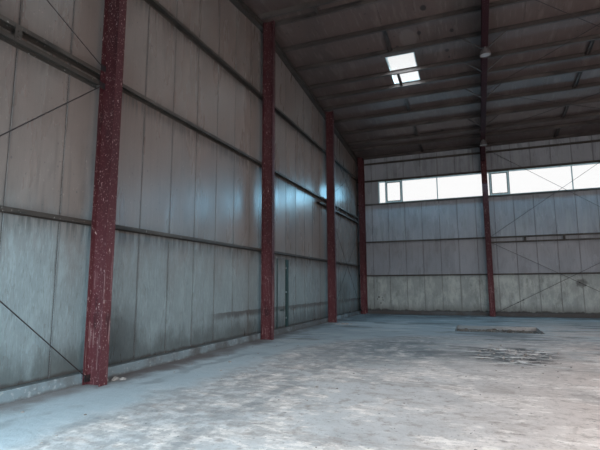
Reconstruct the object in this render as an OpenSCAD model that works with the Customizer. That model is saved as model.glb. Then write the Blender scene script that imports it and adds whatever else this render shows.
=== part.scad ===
// Single-storey steel factory hall: portal frames, posts and rails in the end walls,
// channel purlins, sandwich panels on a concrete kerb, strip windows under the eaves.
// X runs along the ridge, Y across the hall, Z up. Z = 0 is ground level.

/* [Hall] */
// Spacing of the portal frames along the hall
bay = 6000; // [4500:100:6600]
// Distance from an end wall's posts to the first portal frame
end_bay = 6045; // [4500:5:6600]
// Number of bays
bays = 6; // [4:1:6]
// Width between the inner faces of the long walls
span = 24000; // [20000:500:28000]
// Height of the purlins' underside at the long walls, above the floor
eave_h = 8180; // [7900:10:9500]
// Rise of the roof in percent of its run
roof_slope = 10; // [6:1:14]
// Thickness of the concrete floor
floor_t = 200; // [120:10:300]

/* [Floor pit] */
// Distance of the pit from the end wall's inner face
pit_from_end = 5010; // [3000:10:8000]
// Length of the pit along the hall
pit_l = 2570; // [1000:10:4000]
// Distance of the pit from the ridge line
pit_from_ridge = 4000; // [1000:10:6500]
// Width of the pit across the hall
pit_w = 2200; // [600:10:2800]
// Width of the joints between the floor's fields
floor_joint = 5; // [3:1:12]

/* [Walls and roof] */
// Thickness of the wall panels
wall_t = 120; // [80:10:200]
// Cover width of one wall panel
panel_w = 857; // [800:1:1000]
// Height of the concrete kerb above the floor
kerb_h = 170; // [120:10:260]
// How far the kerb steps into the hall past the panels
kerb_in = 130; // [60:5:130]
// Thickness of the roof panels
roof_t = 150; // [100:10:200]
// Reach of the roof past the long walls
eave_over = 300; // [150:10:500]
// Reach of the roof past the end walls
verge_over = 100; // [60:10:250]
// Thickness of the folded trims
trim_t = 6; // [3:1:8]
// Reach of the ridge cap down each slope
ridge_cap_w = 300; // [150:10:500]

/* [Portal frames] */
// Depth of the column section
col_d = 450; // [350:10:550]
// Flange width of the column
col_b = 250; // [200:10:300]
// Depth of the rafter section
rafter_d = 450; // [350:10:550]
// Flange width of the rafter
rafter_b = 180; // [150:10:240]
// Thickness of the frames' flanges
flange_t = 16; // [10:1:25]
// Thickness of the frames' webs
web_t = 10; // [8:1:16]
// Length of the haunch at the knee
haunch_l = 1500; // [800:50:1600]
// Extra depth of the haunch at the column
haunch_d = 400; // [200:10:500]
// Thickness of the end plates at knee and ridge
plate_t = 25; // [15:1:40]

/* [Gable posts] */
// Number of posts in an end wall
post_count = 3; // [3:2:3]
// Depth of the post section
post_d = 330; // [250:10:400]
// Flange width of the post
post_b = 160; // [120:10:200]
// Thickness of the post's flanges
post_flange_t = 12; // [8:1:18]
// Thickness of the post's web
post_web_t = 8; // [6:1:12]
// Depth of the sloping beam on top of the posts
gable_beam_d = 180; // [140:10:240]

/* [Rails and purlins] */
// Depth of the channels used for rails and purlins
rail_d = 160; // [140:5:200]
// Flange width of these channels
rail_b = 64; // [50:1:80]
// Thickness of these channels
rail_t = 6; // [4:0.5:9]
// Underside of the lower rail of the long walls, above the floor
side_low_h = 1920; // [1500:10:2500]
// Underside of the middle rail of the long walls
side_mid_h = 3680; // [3300:10:4300]
// Distance of the top rail of the long walls below the purlins
side_top_drop = 260; // [150:10:400]
// Underside of the lower rail of the end walls
gable_low_h = 2434; // [2420:2:2700]
// Underside of the middle rail of the end walls
gable_mid_h = 4935; // [4400:5:5400]
// Underside of the upper rail of the end walls
gable_top_h = 7000; // [6300:10:7300]
// Drop from a middle rail to the second channel of its strut, long walls
side_strut_drop = 235; // [180:5:400]
// Drop to the second channel of the strut in an end wall, bay at the back
back_strut_drop = 245; // [180:5:400]
// Drop to the second channel of the strut in an end wall, bay at the front
front_strut_drop = 190; // [120:5:400]
// How far a gable strut runs on past its post at the back
strut_tail = 900; // [300:50:1500]
// Distance between the batten plates of a strut in the long wall
side_batten_pitch = 1600; // [900:50:1800]
// Distance between the batten plates of a strut in the end wall
gable_batten_pitch = 1500; // [900:50:1550]
// Width of the batten plates
batten_w = 100; // [80:10:200]
// Thickness of the batten plates
batten_t = 8; // [5:1:12]

/* [Roof ties] */
// Distance of a bay's sag struts from the frame before them
sag_from_frame = 3180; // [2200:10:3400]
// Width of the sag struts between purlins
sag_b = 100; // [50:5:120]
// Depth of the sag struts
sag_h = 50; // [30:5:70]
// Thickness of the sag struts and fly braces
tie_t = 6; // [4:1:8]
// Leg of the angles that brace the rafters from the purlins
fly_leg = 50; // [40:5:70]
// Reach of a fly brace from the rafter's centre along the purlin
fly_reach = 640; // [450:10:900]

/* [Rod bracing] */
// Diameter of the bracing rods
rod_dia = 16; // [12:1:30]
// Side of the lugs that hold the rods
lug = 100; // [70:5:120]
// Thickness of the lugs
lug_t = 14; // [8:1:20]
// Height of the lowest lug's centre above the floor
rod_foot_h = 100; // [70:5:400]
// Distance of the end walls' rods from the inner face of the panels
gable_rod_in = 210; // [200:1:225]

/* [Windows] */
// Height of the window strip's lower edge above the floor
sill_h = 5760; // [5300:10:5900]
// Height of the window strip
window_h = 1210; // [900:10:1300]
// Distance from an end wall's inner face to the window strip
window_end = 1110; // [700:10:1700]
// Width of an opening sash
sash_w = 860; // [600:10:1000]
// Width of the small light beside the end sash
small_light = 385; // [250:5:500]
// Distance of a bay's first sash from its frame's centre
sash_from_frame = 235; // [150:5:300]
// Width of the fixed light before each portal frame
fixed_light = 2240; // [1200:20:2300]
// Face width of the window frame and its bars
win_bar = 50; // [35:5:80]
// Face width of the sash frame
sash_bar = 70; // [40:5:90]
// Thickness of the glass
glass_t = 16; // [6:1:24]

/* [Door] */
// Distance of the doorway from the ridge line
door_from_ridge = 1314; // [900:2:2400]
// Width of the doorway in the panels
door_w = 869; // [800:1:1100]
// Height of the doorway's top above the floor
door_top_h = 2300; // [2100:10:2350]
// Face width of the jamb on the free side
free_jamb_w = 56; // [40:1:80]
// Face width of the jamb on the hinge side
hinge_jamb_w = 183; // [80:1:200]
// How far the jamb on the free side stands into the hall
free_jamb_in = 15; // [0:1:30]
// How far the jamb on the hinge side stands into the hall
hinge_jamb_in = 33; // [15:1:60]
// Thickness of the door leaf
leaf_t = 60; // [40:5:60]
// Gap beside and over the leaf
leaf_gap = 6; // [6:1:10]
// How far the stop reaches in from the jambs and the head
door_stop = 26; // [25:1:40]
// Radius of the hinge barrels
hinge_r = 9; // [7:1:11]
// Length of one hinge barrel
hinge_l = 50; // [35:5:70]
// Height of the bolt above the floor
bolt_h = 700; // [600:10:1200]
// Length of the bolt
bolt_l = 250; // [200:10:300]
// Width of the bolt's bar
bolt_w = 28; // [20:2:40]
// Thickness of the bolt's bar
bolt_t = 12; // [8:1:16]
// Width of the bolt's guides
guide_w = 40; // [30:2:60]

/* [Skylights] */
// Width of a skylight
skylight_w = 980; // [700:10:1200]
// Distance from an end wall's inner face to its skylights
skylight_from_end = 3230; // [1500:10:4500]
// Distance from the ridge line to the skylight's upper edge
skylight_from_ridge = 3150; // [2000:10:5000]
// Length of a skylight down the slope, measured level
skylight_l = 2050; // [1000:10:3000]
// Thickness of the skylight's frame
skylight_bar = 30; // [20:5:60]
// Thickness of the skylight's pane
skylight_pane_t = 40; // [20:5:60]

/* [Lamps] */
// Diameter of a lamp's reflector
lamp_dia = 310; // [250:10:450]
// Height of a lamp's reflector
lamp_h = 220; // [120:10:260]
// Length of a lamp's stem
lamp_stem = 60; // [30:10:150]

/* [Hidden] */
$fn = 24;

primer = [0.33, 0.14, 0.15];
rail_green = [0.2, 0.24, 0.25];
panel_grey = [0.62, 0.66, 0.68];
lining_grey = [0.55, 0.54, 0.54];
concrete = [0.66, 0.65, 0.63];
frame_white = [0.9, 0.91, 0.92];
glass_blue = [0.75, 0.88, 0.93, 0.6];
door_green = [0.14, 0.24, 0.25];

slope = roof_slope / 100;
slope_angle = atan(slope);
lean = 1 / cos(slope_angle);
half_w = span / 2;
post_x = rail_d + post_d / 2;
half_l = (bays / 2 - 1) * bay + end_bay + post_x;
kerb_top = floor_t + kerb_h;
frame_outer = half_w - rail_d;
frame_inner = frame_outer - col_d;
corner_x = half_l - rail_d - col_b / 2;
window_sill = floor_t + sill_h;
window_head = window_sill + window_h;
door_y0 = door_from_ridge;
door_y1 = door_from_ridge + door_w;
door_head = floor_t + door_top_h;
free_y = door_y0 + free_jamb_w;
hinge_y = door_y1 - hinge_jamb_w - leaf_gap / 2;
hinge_out = hinge_r + 3;
hinge_x = hinge_jamb_in + hinge_out;
hinge_wing = 42;
hinge_plate_t = 4;
hinge_margin = 250;
// The leaf's outer corner swings past the free jamb with the set gap
free_gap = leaf_gap + norm([leaf_t + hinge_x, hinge_y - free_y]) - (hinge_y - free_y);
stop_t = 20;
seat_gap = 0.3;
rod_shift = rod_dia / 2 + lug_t / 2 + 3;
erection_gap = 4;
outer_x = half_l + wall_t;
outer_y = half_w + wall_t;

// Distance of each purlin's web from the ridge, measured level
purlin_runs = [260, 1550, 2760, 4060, 4980, 5880, 7150, 8440, 9730, 10550, 11780];
purlin_scale = frame_outer / 11840;
function purlin_run(i) = purlin_runs[i] * purlin_scale;
last_purlin = len(purlin_runs) - 1;
// Purlins that a fly brace ties to each rafter
fly_purlins = [2, 3, 5, 7];
// First of each pair of purlins with a sag strut between them
sag_pairs = [1, 3, 5, 7, 9];
// Where the lamps hang across the hall
lamp_gap = 10;
lamp_ys = [2600, frame_inner - haunch_l - lamp_dia / 2 - lamp_gap];

// Underside of the purlins and top of the frames
function frame_top(y) = floor_t + eave_h + slope * (half_w - abs(y));
// Underside of the roof panels
function lining(y) = frame_top(y) + rail_d * lean;
function frame_x(i) = i <= 0 ? post_x - half_l : i >= bays ? half_l - post_x : (i - bays / 2) * bay;
function post_y(i) = span * i / (post_count + 1) - half_w;

// Outline in the YZ plane from a level foot up to the frame line, or to the lining
function up_to(y0, y1, foot, lift = 0) = concat(
    [[y0, foot], [y1, foot], [y1, frame_top(y1) + lift]],
    y0 < 0 && y1 > 0 ? [[0, frame_top(0) + lift]] : [],
    [[y0, frame_top(y0) + lift]]);
// Strip of a given depth hanging under the frame line, both measured plumb
function strip(y0, y1, top_drop, depth) = [
    [y0, frame_top(y0) - top_drop], [y1, frame_top(y1) - top_drop],
    [y1, frame_top(y1) - top_drop - depth], [y0, frame_top(y0) - top_drop - depth]];

module along_x(x0, x1) translate([x0, 0, 0]) rotate([90, 0, 90]) linear_extrude(x1 - x0) children();
module along_y(y0, y1) translate([0, y1, 0]) rotate([90, 0, 0]) linear_extrude(y1 - y0) children();
module block(lo, hi) translate(lo) cube(hi - lo);
module both_sides() { children(); mirror([0, 1, 0]) children(); }
module both_ends() { children(); mirror([1, 0, 0]) children(); }

// Channel lying on its side with its toes down, standing in from 0 to rail_d
module flat_channel() {
    polygon([[0, 0], [0, rail_b], [rail_d, rail_b], [rail_d, 0], [rail_d - rail_t, 0],
        [rail_d - rail_t, rail_b - rail_t], [rail_t, rail_b - rail_t], [rail_t, 0]]);
}

// Channel standing upright with its toes towards the ridge
module purlin_channel() {
    polygon([[0, 0], [0, rail_d], [-rail_b, rail_d], [-rail_b, rail_d - rail_t],
        [-rail_t, rail_d - rail_t], [-rail_t, rail_t], [-rail_b, rail_t], [-rail_b, 0]]);
}

// Welded I-section column in the frame plane, cut to the roof line
module column(x) {
    along_x(x - col_b / 2, x + col_b / 2) {
        polygon(up_to(frame_outer - flange_t, frame_outer, floor_t));
        polygon(up_to(frame_inner, frame_inner + flange_t, floor_t));
        polygon(strip(frame_inner, frame_outer, 0, flange_t));
    }
    along_x(x - web_t / 2, x + web_t / 2) polygon(up_to(frame_inner, frame_outer, floor_t));
}

// Pairs of stiffener plates in the column, level with the haunch
module column_stiffeners(x) {
    for (drop = [rafter_d, rafter_d + haunch_d])
        translate([0, 0, frame_top(frame_inner) - drop - flange_t])
            block([x - col_b / 2 + flange_t, frame_inner, 0],
                [x + col_b / 2 - flange_t, frame_outer, flange_t]);
}

// Half of a portal frame's roof beam, with its haunch and end plates
module rafter(x) {
    knee = frame_inner;
    start = frame_inner - haunch_l;
    low = frame_top(knee) - rafter_d - haunch_d;
    start_low = frame_top(start) - rafter_d;
    ridge_low = frame_top(0) - rafter_d - 2 * flange_t;
    along_x(x - rafter_b / 2, x + rafter_b / 2) {
        polygon(strip(0, knee, 0, flange_t));
        polygon(strip(0, knee, rafter_d - flange_t, flange_t));
        polygon([[start, start_low], [knee, low], [knee, low + flange_t], [start, start_low + flange_t]]);
        polygon([[0, ridge_low], [plate_t, ridge_low], [plate_t, frame_top(plate_t)], [0, frame_top(0)]]);
        polygon([[knee - plate_t, low - flange_t], [knee, low - flange_t],
            [knee, frame_top(knee)], [knee - plate_t, frame_top(knee - plate_t)]]);
    }
    along_x(x - web_t / 2, x + web_t / 2)
        polygon([[0, frame_top(0)], [knee, frame_top(knee)], [knee, low], [start, start_low],
            [0, frame_top(0) - rafter_d]]);
}

// I-section post of an end wall, its web square to the wall
module gable_post(y) {
    outer = half_l - rail_d;
    for (x = [outer - post_flange_t, outer - post_d])
        along_x(x, x + post_flange_t) polygon(up_to(y - post_b / 2, y + post_b / 2, floor_t));
    along_x(outer - post_d, outer) polygon(up_to(y - post_web_t / 2, y + post_web_t / 2, floor_t));
}

// Sloping I-beam under the purlins at an end wall
module gable_beam() {
    along_x(half_l - rail_d, half_l) {
        polygon(strip(erection_gap / 2, frame_outer, 0, post_flange_t));
        polygon(strip(erection_gap / 2, frame_outer, gable_beam_d - post_flange_t, post_flange_t));
    }
    along_x(half_l - rail_d / 2 - post_web_t / 2, half_l - rail_d / 2 + post_web_t / 2)
        polygon(strip(erection_gap / 2, frame_outer, 0, gable_beam_d));
}

module side_rail(h) translate([0, half_w - rail_d, floor_t + h]) along_x(-half_l, half_l) flat_channel();
module gable_rail(h)
    translate([half_l - rail_d, 0, floor_t + h]) along_y(-frame_outer, frame_outer) flat_channel();

// Second channel of a strut in the long wall, tied to the rail above by battens
module side_strut() {
    low = floor_t + side_mid_h - side_strut_drop;
    start = frame_x(1);
    translate([0, half_w - rail_d, low]) along_x(start, frame_x(2)) flat_channel();
    for (k = [1 : 3])
        translate([start + side_batten_pitch * k, 0, low + rail_b / 2])
            block([-batten_w / 2, frame_outer - batten_t, 0], [batten_w / 2, frame_outer, side_strut_drop]);
}

// Second channel of a strut in the end wall, from the corner column to the first post
module gable_strut(drop, tail) {
    low = floor_t + gable_mid_h - drop;
    start = post_y(post_count);
    translate([half_l - rail_d, 0, low]) along_y(start - tail, frame_outer) flat_channel();
    for (k = [1 : 3])
        translate([half_l - rail_d, start + gable_batten_pitch * k, low + rail_b / 2])
            block([-batten_t, -batten_w / 2, 0], [0, batten_w / 2, drop]);
}

// Puts a profile on the frame line at one purlin, turned to the roof's slope
module purlin_place(i) translate([purlin_run(i), frame_top(purlin_run(i))]) rotate(-slope_angle) children();

module purlins() for (i = [0 : last_purlin]) along_x(-half_l, half_l) purlin_place(i) purlin_channel();

// Channel strut between the webs of two purlins of one slope, its toes down
module sag_strut(x, i) {
    reach = (purlin_run(i + 1) - purlin_run(i)) * lean - rail_t;
    low = (rail_d - sag_h) / 2;
    along_x(x - sag_b / 2, x + sag_b / 2) purlin_place(i)
        translate([0, low + sag_h - tie_t]) square([reach, tie_t]);
    for (edge = [-sag_b / 2, sag_b / 2 - tie_t])
        along_x(x + edge, x + edge + tie_t) purlin_place(i) translate([0, low]) square([reach, sag_h]);
}

// Tie across the ridge between the webs of the two highest purlins
module ridge_tie(x) {
    low = (rail_d - sag_h) / 2;
    reach = purlin_run(0) - rail_t * lean + slope * low;
    along_x(x - sag_b / 2, x + sag_b / 2) translate([0, frame_top(purlin_run(0)) + low])
        polygon([[-reach, 0], [reach, 0], [reach + slope * sag_h, sag_h], [-reach - slope * sag_h, sag_h]]);
}

// Angle from a purlin's underside down to the rafter's lower flange
module fly_brace(x, i, side) {
    y = purlin_run(i) - rail_b / 2 - fly_leg / 2;
    top = frame_top(y + fly_leg);
    foot = frame_top(y) - rafter_d + flange_t;
    edge = rafter_b / 2 - fly_leg;
    translate([x, 0, 0]) mirror([side < 0 ? 1 : 0, 0, 0]) {
        along_y(y, y + tie_t)
            polygon([[edge, foot], [edge + fly_leg, foot], [fly_reach, top], [fly_reach - fly_leg, top]]);
        along_y(y, y + fly_leg)
            polygon([[edge + fly_leg - tie_t, foot], [edge + fly_leg, foot],
                [fly_reach, top], [fly_reach - tie_t, top]]);
    }
}

// Rod between two points, without its lugs
module rod(p, q) {
    d = q - p;
    len = norm(d);
    translate(p) rotate([0, acos(d[2] / len), atan2(d[1], d[0])]) cylinder(d = rod_dia, h = len);
}

// Rod in the plane of a long wall, from the web of the first frame to that of the second
module side_rod(z0, z1, y) {
    x0 = frame_x(1) + web_t / 2;
    x1 = frame_x(2) - web_t / 2;
    rod([x0 + lug / 2, y, z0], [x1 - lug / 2, y, z1]);
    block([x0, y - lug_t / 2, z0 - lug / 2], [x0 + lug, y + lug_t / 2, z0 + lug / 2]);
    block([x1 - lug, y - lug_t / 2, z1 - lug / 2], [x1, y + lug_t / 2, z1 + lug / 2]);
}

// Rod under one slope, from the rafter web at x0 to the rafter web at x1
module roof_rod(x0, y0, x1, y1, drop) {
    z0 = frame_top(y0) - drop;
    z1 = frame_top(y1) - drop;
    rod([x0 + lug / 2, y0, z0], [x1 - lug / 2, y1, z1]);
    block([x0, y0 - lug / 2, z0 - lug_t / 2], [x0 + lug, y0 + lug / 2, z0 + lug_t / 2]);
    block([x1 - lug, y1 - lug / 2, z1 - lug_t / 2], [x1, y1 + lug / 2, z1 + lug_t / 2]);
}

// Rod in the plane of an end wall, from a post's web to the corner column
module gable_rod(z0, z1, x) {
    y0 = post_y(post_count) + post_web_t / 2;
    y1 = frame_inner;
    rod([x, y0 + lug / 2, z0], [x, y1 - lug / 2, z1]);
    block([x - lug_t / 2, y0, z0 - lug / 2], [x + lug_t / 2, y0 + lug, z0 + lug / 2]);
    block([x - lug_t / 2, y1 - lug, z1 - lug / 2], [x + lug_t / 2, y1, z1 + lug / 2]);
}

// Sheet-clad sandwich slab of one slope, with its skylight holes
module roof_slab() {
    end = outer_y + eave_over;
    difference() {
        along_x(-outer_x - verge_over, outer_x + verge_over)
            polygon([[0, lining(0)], [end, lining(end)], [end, lining(end) + roof_t * lean],
                [0, lining(0) + roof_t * lean]]);
        both_ends() skylight_space(0, -1, roof_t + 2);
    }
}

// Slanted block inside a skylight's hole: inset from its sides, from one height to another
module skylight_space(inset, low, high) {
    y0 = skylight_from_ridge + inset;
    y1 = skylight_from_ridge + skylight_l - inset;
    x0 = half_l - skylight_from_end - skylight_w + inset;
    x1 = half_l - skylight_from_end - inset;
    along_x(x0, x1)
        polygon([[y0, lining(y0) + low * lean], [y1, lining(y1) + low * lean],
            [y1, lining(y1) + high * lean], [y0, lining(y0) + high * lean]]);
}

// End wall, up to the underside of the roof panels
module gable_panel(y0, y1, foot) along_x(half_l, outer_x) polygon(up_to(y0, y1, foot, rail_d * lean));

// Middles of the upright bars of a window strip, in one half of the hall
function window_bars() = concat(
    [window_end - half_l + small_light, window_end - half_l + small_light + sash_w],
    [for (i = [1 : bays - 1]) if (frame_x(i) < -1)
        each [frame_x(i) + sash_from_frame, frame_x(i) + sash_from_frame + sash_w,
            frame_x(i + 1) - fixed_light]],
    [frame_x(1) - fixed_light]);
function sash_starts() = concat(
    [window_end - half_l + small_light],
    [for (i = [1 : bays - 1]) if (frame_x(i) < -1) frame_x(i) + sash_from_frame]);

module window_frame() {
    reach = half_l - window_end;
    y0 = half_w + wall_t / 6;
    y1 = outer_y - wall_t / 6;
    difference() {
        block([-reach, y0, window_sill], [reach, y1, window_head]);
        block([win_bar - reach, y0 - 1, window_sill + win_bar],
            [reach - win_bar, y1 + 1, window_head - win_bar]);
    }
    both_ends() for (x = window_bars())
        block([x - win_bar / 2, y0, window_sill + win_bar / 2],
            [x + win_bar / 2, half_w + wall_t / 2 - glass_t / 2, window_head - win_bar / 2]);
    block([-win_bar / 2, y0, window_sill + win_bar / 2],
        [win_bar / 2, half_w + wall_t / 2 - glass_t / 2, window_head - win_bar / 2]);
}

module window_sash(x) {
    y0 = half_w - wall_t / 8;
    y1 = half_w + wall_t / 6;
    z0 = window_sill + win_bar / 2;
    z1 = window_head - win_bar / 2;
    difference() {
        block([x, y0, z0], [x + sash_w, y1, z1]);
        block([x + sash_bar, y0 - 1, z0 + sash_bar], [x + sash_w - sash_bar, y1 + 1, z1 - sash_bar]);
    }
}

// Fixed half of a lift-off hinge: a barrel on a plate on the jamb's face
module jamb_hinge(z) translate([hinge_x - half_l, hinge_y, z]) {
    cylinder(r = hinge_r, h = hinge_l);
    block([-hinge_out, 0, 0], [0, hinge_r, hinge_l]);
    block([-hinge_out, 0, 0], [hinge_plate_t - hinge_out, hinge_wing, hinge_l]);
}

// Moving half of a lift-off hinge: a barrel on an arm that reaches back to the leaf's face
module leaf_hinge(z) translate([hinge_x - half_l, hinge_y, z]) {
    cylinder(r = hinge_r, h = hinge_l);
    block([-hinge_x, -hinge_r, 0], [0, -leaf_gap / 2, hinge_l]);
    block([-hinge_x, -hinge_wing, 0], [hinge_plate_t - hinge_x, -leaf_gap / 2, hinge_l]);
}
function hinge_heights() = [kerb_top + hinge_margin, (kerb_top + door_head) / 2,
    door_head - hinge_margin - hinge_l];

// Floor cast in four fields, which leave the pit open between them
module floor_slab() color(concrete) {
    end = half_l - kerb_in;
    side = half_w - kerb_in;
    x0 = pit_from_end - half_l;
    x1 = x0 + pit_l;
    block([-end, -side, 0], [x0, side, floor_t]);
    block([x1, -side, 0], [end, side, floor_t]);
    block([x0 + floor_joint, -side, 0], [x1 - floor_joint, pit_from_ridge, floor_t]);
    block([x0 + floor_joint, pit_from_ridge + pit_w, 0], [x1 - floor_joint, side, floor_t]);
}

module side_kerbs() color(concrete)
    both_sides() block([-outer_x, half_w - kerb_in, 0], [outer_x, outer_y, kerb_top]);

module end_kerbs() color(concrete)
    both_ends() block([half_l - kerb_in, kerb_in - half_w, 0], [outer_x, half_w - kerb_in, kerb_top]);

module corner_columns() color(primer) both_sides() both_ends() column(corner_x);

module frame_columns() color(primer) both_sides() for (i = [1 : bays - 1]) {
    column(frame_x(i));
    column_stiffeners(frame_x(i));
}

module rafters_back() color(primer) for (i = [1 : bays - 1]) rafter(frame_x(i));

module rafters_front() color(primer) mirror([0, 1, 0]) for (i = [1 : bays - 1]) rafter(frame_x(i));

module gable_posts() color(primer) both_ends() for (i = [1 : post_count]) gable_post(post_y(i));

module gable_beams() color(rail_green) both_sides() both_ends() gable_beam();

module side_rails() color(rail_green) both_sides() {
    for (h = [side_low_h, side_mid_h, sill_h - rail_b, sill_h + window_h, eave_h - side_top_drop])
        side_rail(h);
}

module gable_rails() color(rail_green) both_ends()
    for (h = [gable_low_h, gable_mid_h, gable_top_h]) gable_rail(h);

module side_struts() color(rail_green) both_sides() both_ends() side_strut();

module gable_struts() color(rail_green) both_ends() {
    gable_strut(back_strut_drop, strut_tail);
    mirror([0, 1, 0]) gable_strut(front_strut_drop, 0);
}

module purlins_back() color(rail_green) purlins();

module purlins_front() color(rail_green) mirror([0, 1, 0]) purlins();

module sag_struts() color(rail_green) for (i = [0 : bays - 1]) {
    both_sides() for (pair = sag_pairs) sag_strut(frame_x(i) + sag_from_frame, pair);
    for (k = [1, 3]) ridge_tie(frame_x(i) + bay * k / 4);
}

module fly_braces() color(rail_green) both_sides()
    for (i = [1 : bays - 1]) for (p = fly_purlins) for (side = [-1, 1]) fly_brace(frame_x(i), p, side);

module roof_rods() color(rail_green) both_sides() for (i = [1, bays - 2]) {
    x0 = frame_x(i) + web_t / 2;
    x1 = frame_x(i + 1) - web_t / 2;
    ends = [lug, half_w / 2, frame_inner - haunch_l];
    for (k = [0, 1]) {
        roof_rod(x0, ends[k] + lug, x1, ends[k + 1] - lug, rafter_d / 3 - rod_shift);
        roof_rod(x0, ends[k + 1] - lug, x1, ends[k] + lug, rafter_d / 3 + rod_shift);
    }
}

module side_rods() color(rail_green) both_sides() both_ends() {
    y = (frame_inner + frame_outer) / 2;
    foot = floor_t + rod_foot_h;
    mid = floor_t + side_mid_h;
    top = frame_top(frame_outer);
    side_rod(mid - side_strut_drop + rail_b / 2, foot + lug * 1.6, y - rod_shift);
    side_rod(foot, mid - side_strut_drop - lug * 2.75, y + rod_shift);
    side_rod(mid, top - rafter_d - lug, y - rod_shift);
    side_rod(top - lug, mid + lug * 2.7, y + rod_shift);
}

module gable_rods() color(rail_green) both_sides() both_ends() {
    x = half_l - gable_rod_in;
    foot = floor_t + rod_foot_h;
    mid = floor_t + gable_mid_h;
    top = frame_top(frame_inner);
    gable_rod(mid - front_strut_drop, foot + lug, x + rod_shift);
    gable_rod(foot, mid - lug * 4.35, x - rod_shift);
    gable_rod(mid + rail_b + lug / 2, top - lug * 6.5, x + rod_shift);
    gable_rod(top - lug * 6.5, mid + lug * 2, x - rod_shift);
}

module wall_lower() block([-half_l, half_w, kerb_top], [half_l, outer_y, window_sill]);
module wall_upper() along_x(-half_l, half_l)
    polygon([[half_w, window_head], [outer_y, window_head],
        [outer_y, lining(outer_y)], [half_w, lining(half_w)]]);

module back_wall_lower() color(panel_grey) wall_lower();
module back_wall_upper() color(panel_grey) wall_upper();
module front_wall_lower() color(panel_grey) mirror([0, 1, 0]) wall_lower();
module front_wall_upper() color(panel_grey) mirror([0, 1, 0]) wall_upper();

module side_wall_piers() color(panel_grey) both_sides() both_ends()
    block([half_l - window_end, half_w, window_sill], [half_l, outer_y, window_head]);

module left_gable_back() color(panel_grey) mirror([1, 0, 0]) gable_panel(door_y1, outer_y, kerb_top);
module left_gable_front() color(panel_grey) mirror([1, 0, 0]) gable_panel(-outer_y, door_y0, kerb_top);
module left_gable_over_door() color(panel_grey) mirror([1, 0, 0]) gable_panel(door_y0, door_y1, door_head);
module right_gable_wall() color(panel_grey) gable_panel(-outer_y, outer_y, kerb_top);

module roof_back() color(lining_grey) roof_slab();
module roof_front() color(lining_grey) mirror([0, 1, 0]) roof_slab();

module ridge_cap() color(panel_grey) along_x(-outer_x - verge_over, outer_x + verge_over) {
    top = lining(0) + roof_t * lean;
    drop = slope * ridge_cap_w;
    polygon([[-ridge_cap_w, top - drop], [0, top], [ridge_cap_w, top - drop],
        [ridge_cap_w, top - drop + trim_t * lean], [0, top + trim_t * lean],
        [-ridge_cap_w, top - drop + trim_t * lean]]);
}

// Folded trim over the roof's edge at the eave
module eave_trims() color(panel_grey) both_sides() {
    end = outer_y + eave_over;
    low = lining(end) - trim_t;
    high = lining(end) + roof_t * lean;
    along_x(-outer_x - verge_over, outer_x + verge_over)
        polygon([[end, low], [end + trim_t, low], [end + trim_t, high], [end, high]]);
}

// Folded trim over the roof's edge above an end wall
module verge_trims() color(panel_grey) both_ends() {
    end = outer_y + eave_over;
    low = -trim_t;
    high = roof_t * lean;
    along_x(outer_x + verge_over, outer_x + verge_over + trim_t)
        polygon([[-end, lining(end) + low], [0, lining(0) + low], [end, lining(end) + low],
            [end, lining(end) + high], [0, lining(0) + high], [-end, lining(end) + high]]);
}

module skylight_frames() color(frame_white) both_sides() both_ends() difference() {
    skylight_space(0, 0, roof_t);
    skylight_space(skylight_bar, -1, roof_t + 1);
}

module skylight_panes() color(glass_blue) both_sides() both_ends()
    skylight_space(skylight_bar, roof_t - skylight_pane_t, roof_t);

module window_frames() color(frame_white) both_sides() window_frame();

module window_sashes() color(frame_white) both_sides() both_ends() for (x = sash_starts()) window_sash(x);

module window_glass() color(glass_blue) both_sides() {
    reach = half_l - window_end - win_bar;
    y = half_w + wall_t / 2;
    block([-reach, y - glass_t / 2, window_sill + win_bar], [reach, y + glass_t / 2, window_head - win_bar]);
}

// Two jambs of different width, joined by the stop outside the leaf
module door_frame() color(door_green) {
    stop_in = -half_l - leaf_t - leaf_gap;
    block([-outer_x, door_y0, kerb_top], [free_jamb_in - half_l, free_y, door_head]);
    block([-outer_x, hinge_y + leaf_gap / 2, kerb_top], [hinge_jamb_in - half_l, door_y1, door_head]);
    difference() {
        block([stop_in - stop_t, free_y, kerb_top], [stop_in, hinge_y + leaf_gap / 2, door_head]);
        block([stop_in - stop_t - 1, free_y + door_stop, kerb_top - 1],
            [stop_in + 1, hinge_y + leaf_gap / 2 - door_stop, door_head - door_stop]);
    }
    for (z = hinge_heights()) jamb_hinge(z - hinge_l - seat_gap);
}

module door_leaf() color(panel_grey) {
    block([-half_l - leaf_t, free_y + free_gap, kerb_top + leaf_gap],
        [-half_l, hinge_y - leaf_gap / 2, door_head - leaf_gap]);
    for (z = hinge_heights()) leaf_hinge(z);
}

// Flat bolt on the leaf's inner face, in two guides
module door_bolt() color(door_green) {
    mid = (free_y + hinge_y) / 2 + bolt_l / 6;
    z = floor_t + bolt_h;
    block([-half_l, mid - bolt_l / 2, z - bolt_w / 2], [bolt_t - half_l, mid + bolt_l / 2, z + bolt_w / 2]);
    for (side = [-1, 1]) translate([-half_l, mid + side * bolt_l / 3, z])
        block([0, -guide_w / 2, -guide_w * 0.6], [bolt_t * 1.6, guide_w / 2, guide_w * 0.6]);
}

module high_bay_lamps() color(frame_white) both_sides() for (i = [1 : bays - 1]) for (y = lamp_ys) {
    top = frame_top(y) - rafter_d - slope * lamp_dia / 8;
    translate([frame_x(i), y, top - lamp_stem - lamp_h]) rotate_extrude()
        polygon([[0, lamp_h + lamp_stem], [lamp_dia / 8, lamp_h + lamp_stem], [lamp_dia / 8, lamp_h],
            [lamp_dia * 0.28, lamp_h * 0.9], [lamp_dia * 0.4, lamp_h * 0.7], [lamp_dia * 0.47, lamp_h * 0.4],
            [lamp_dia / 2, lamp_h / 8], [lamp_dia / 2, 0], [0, 0]]);
}

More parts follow.
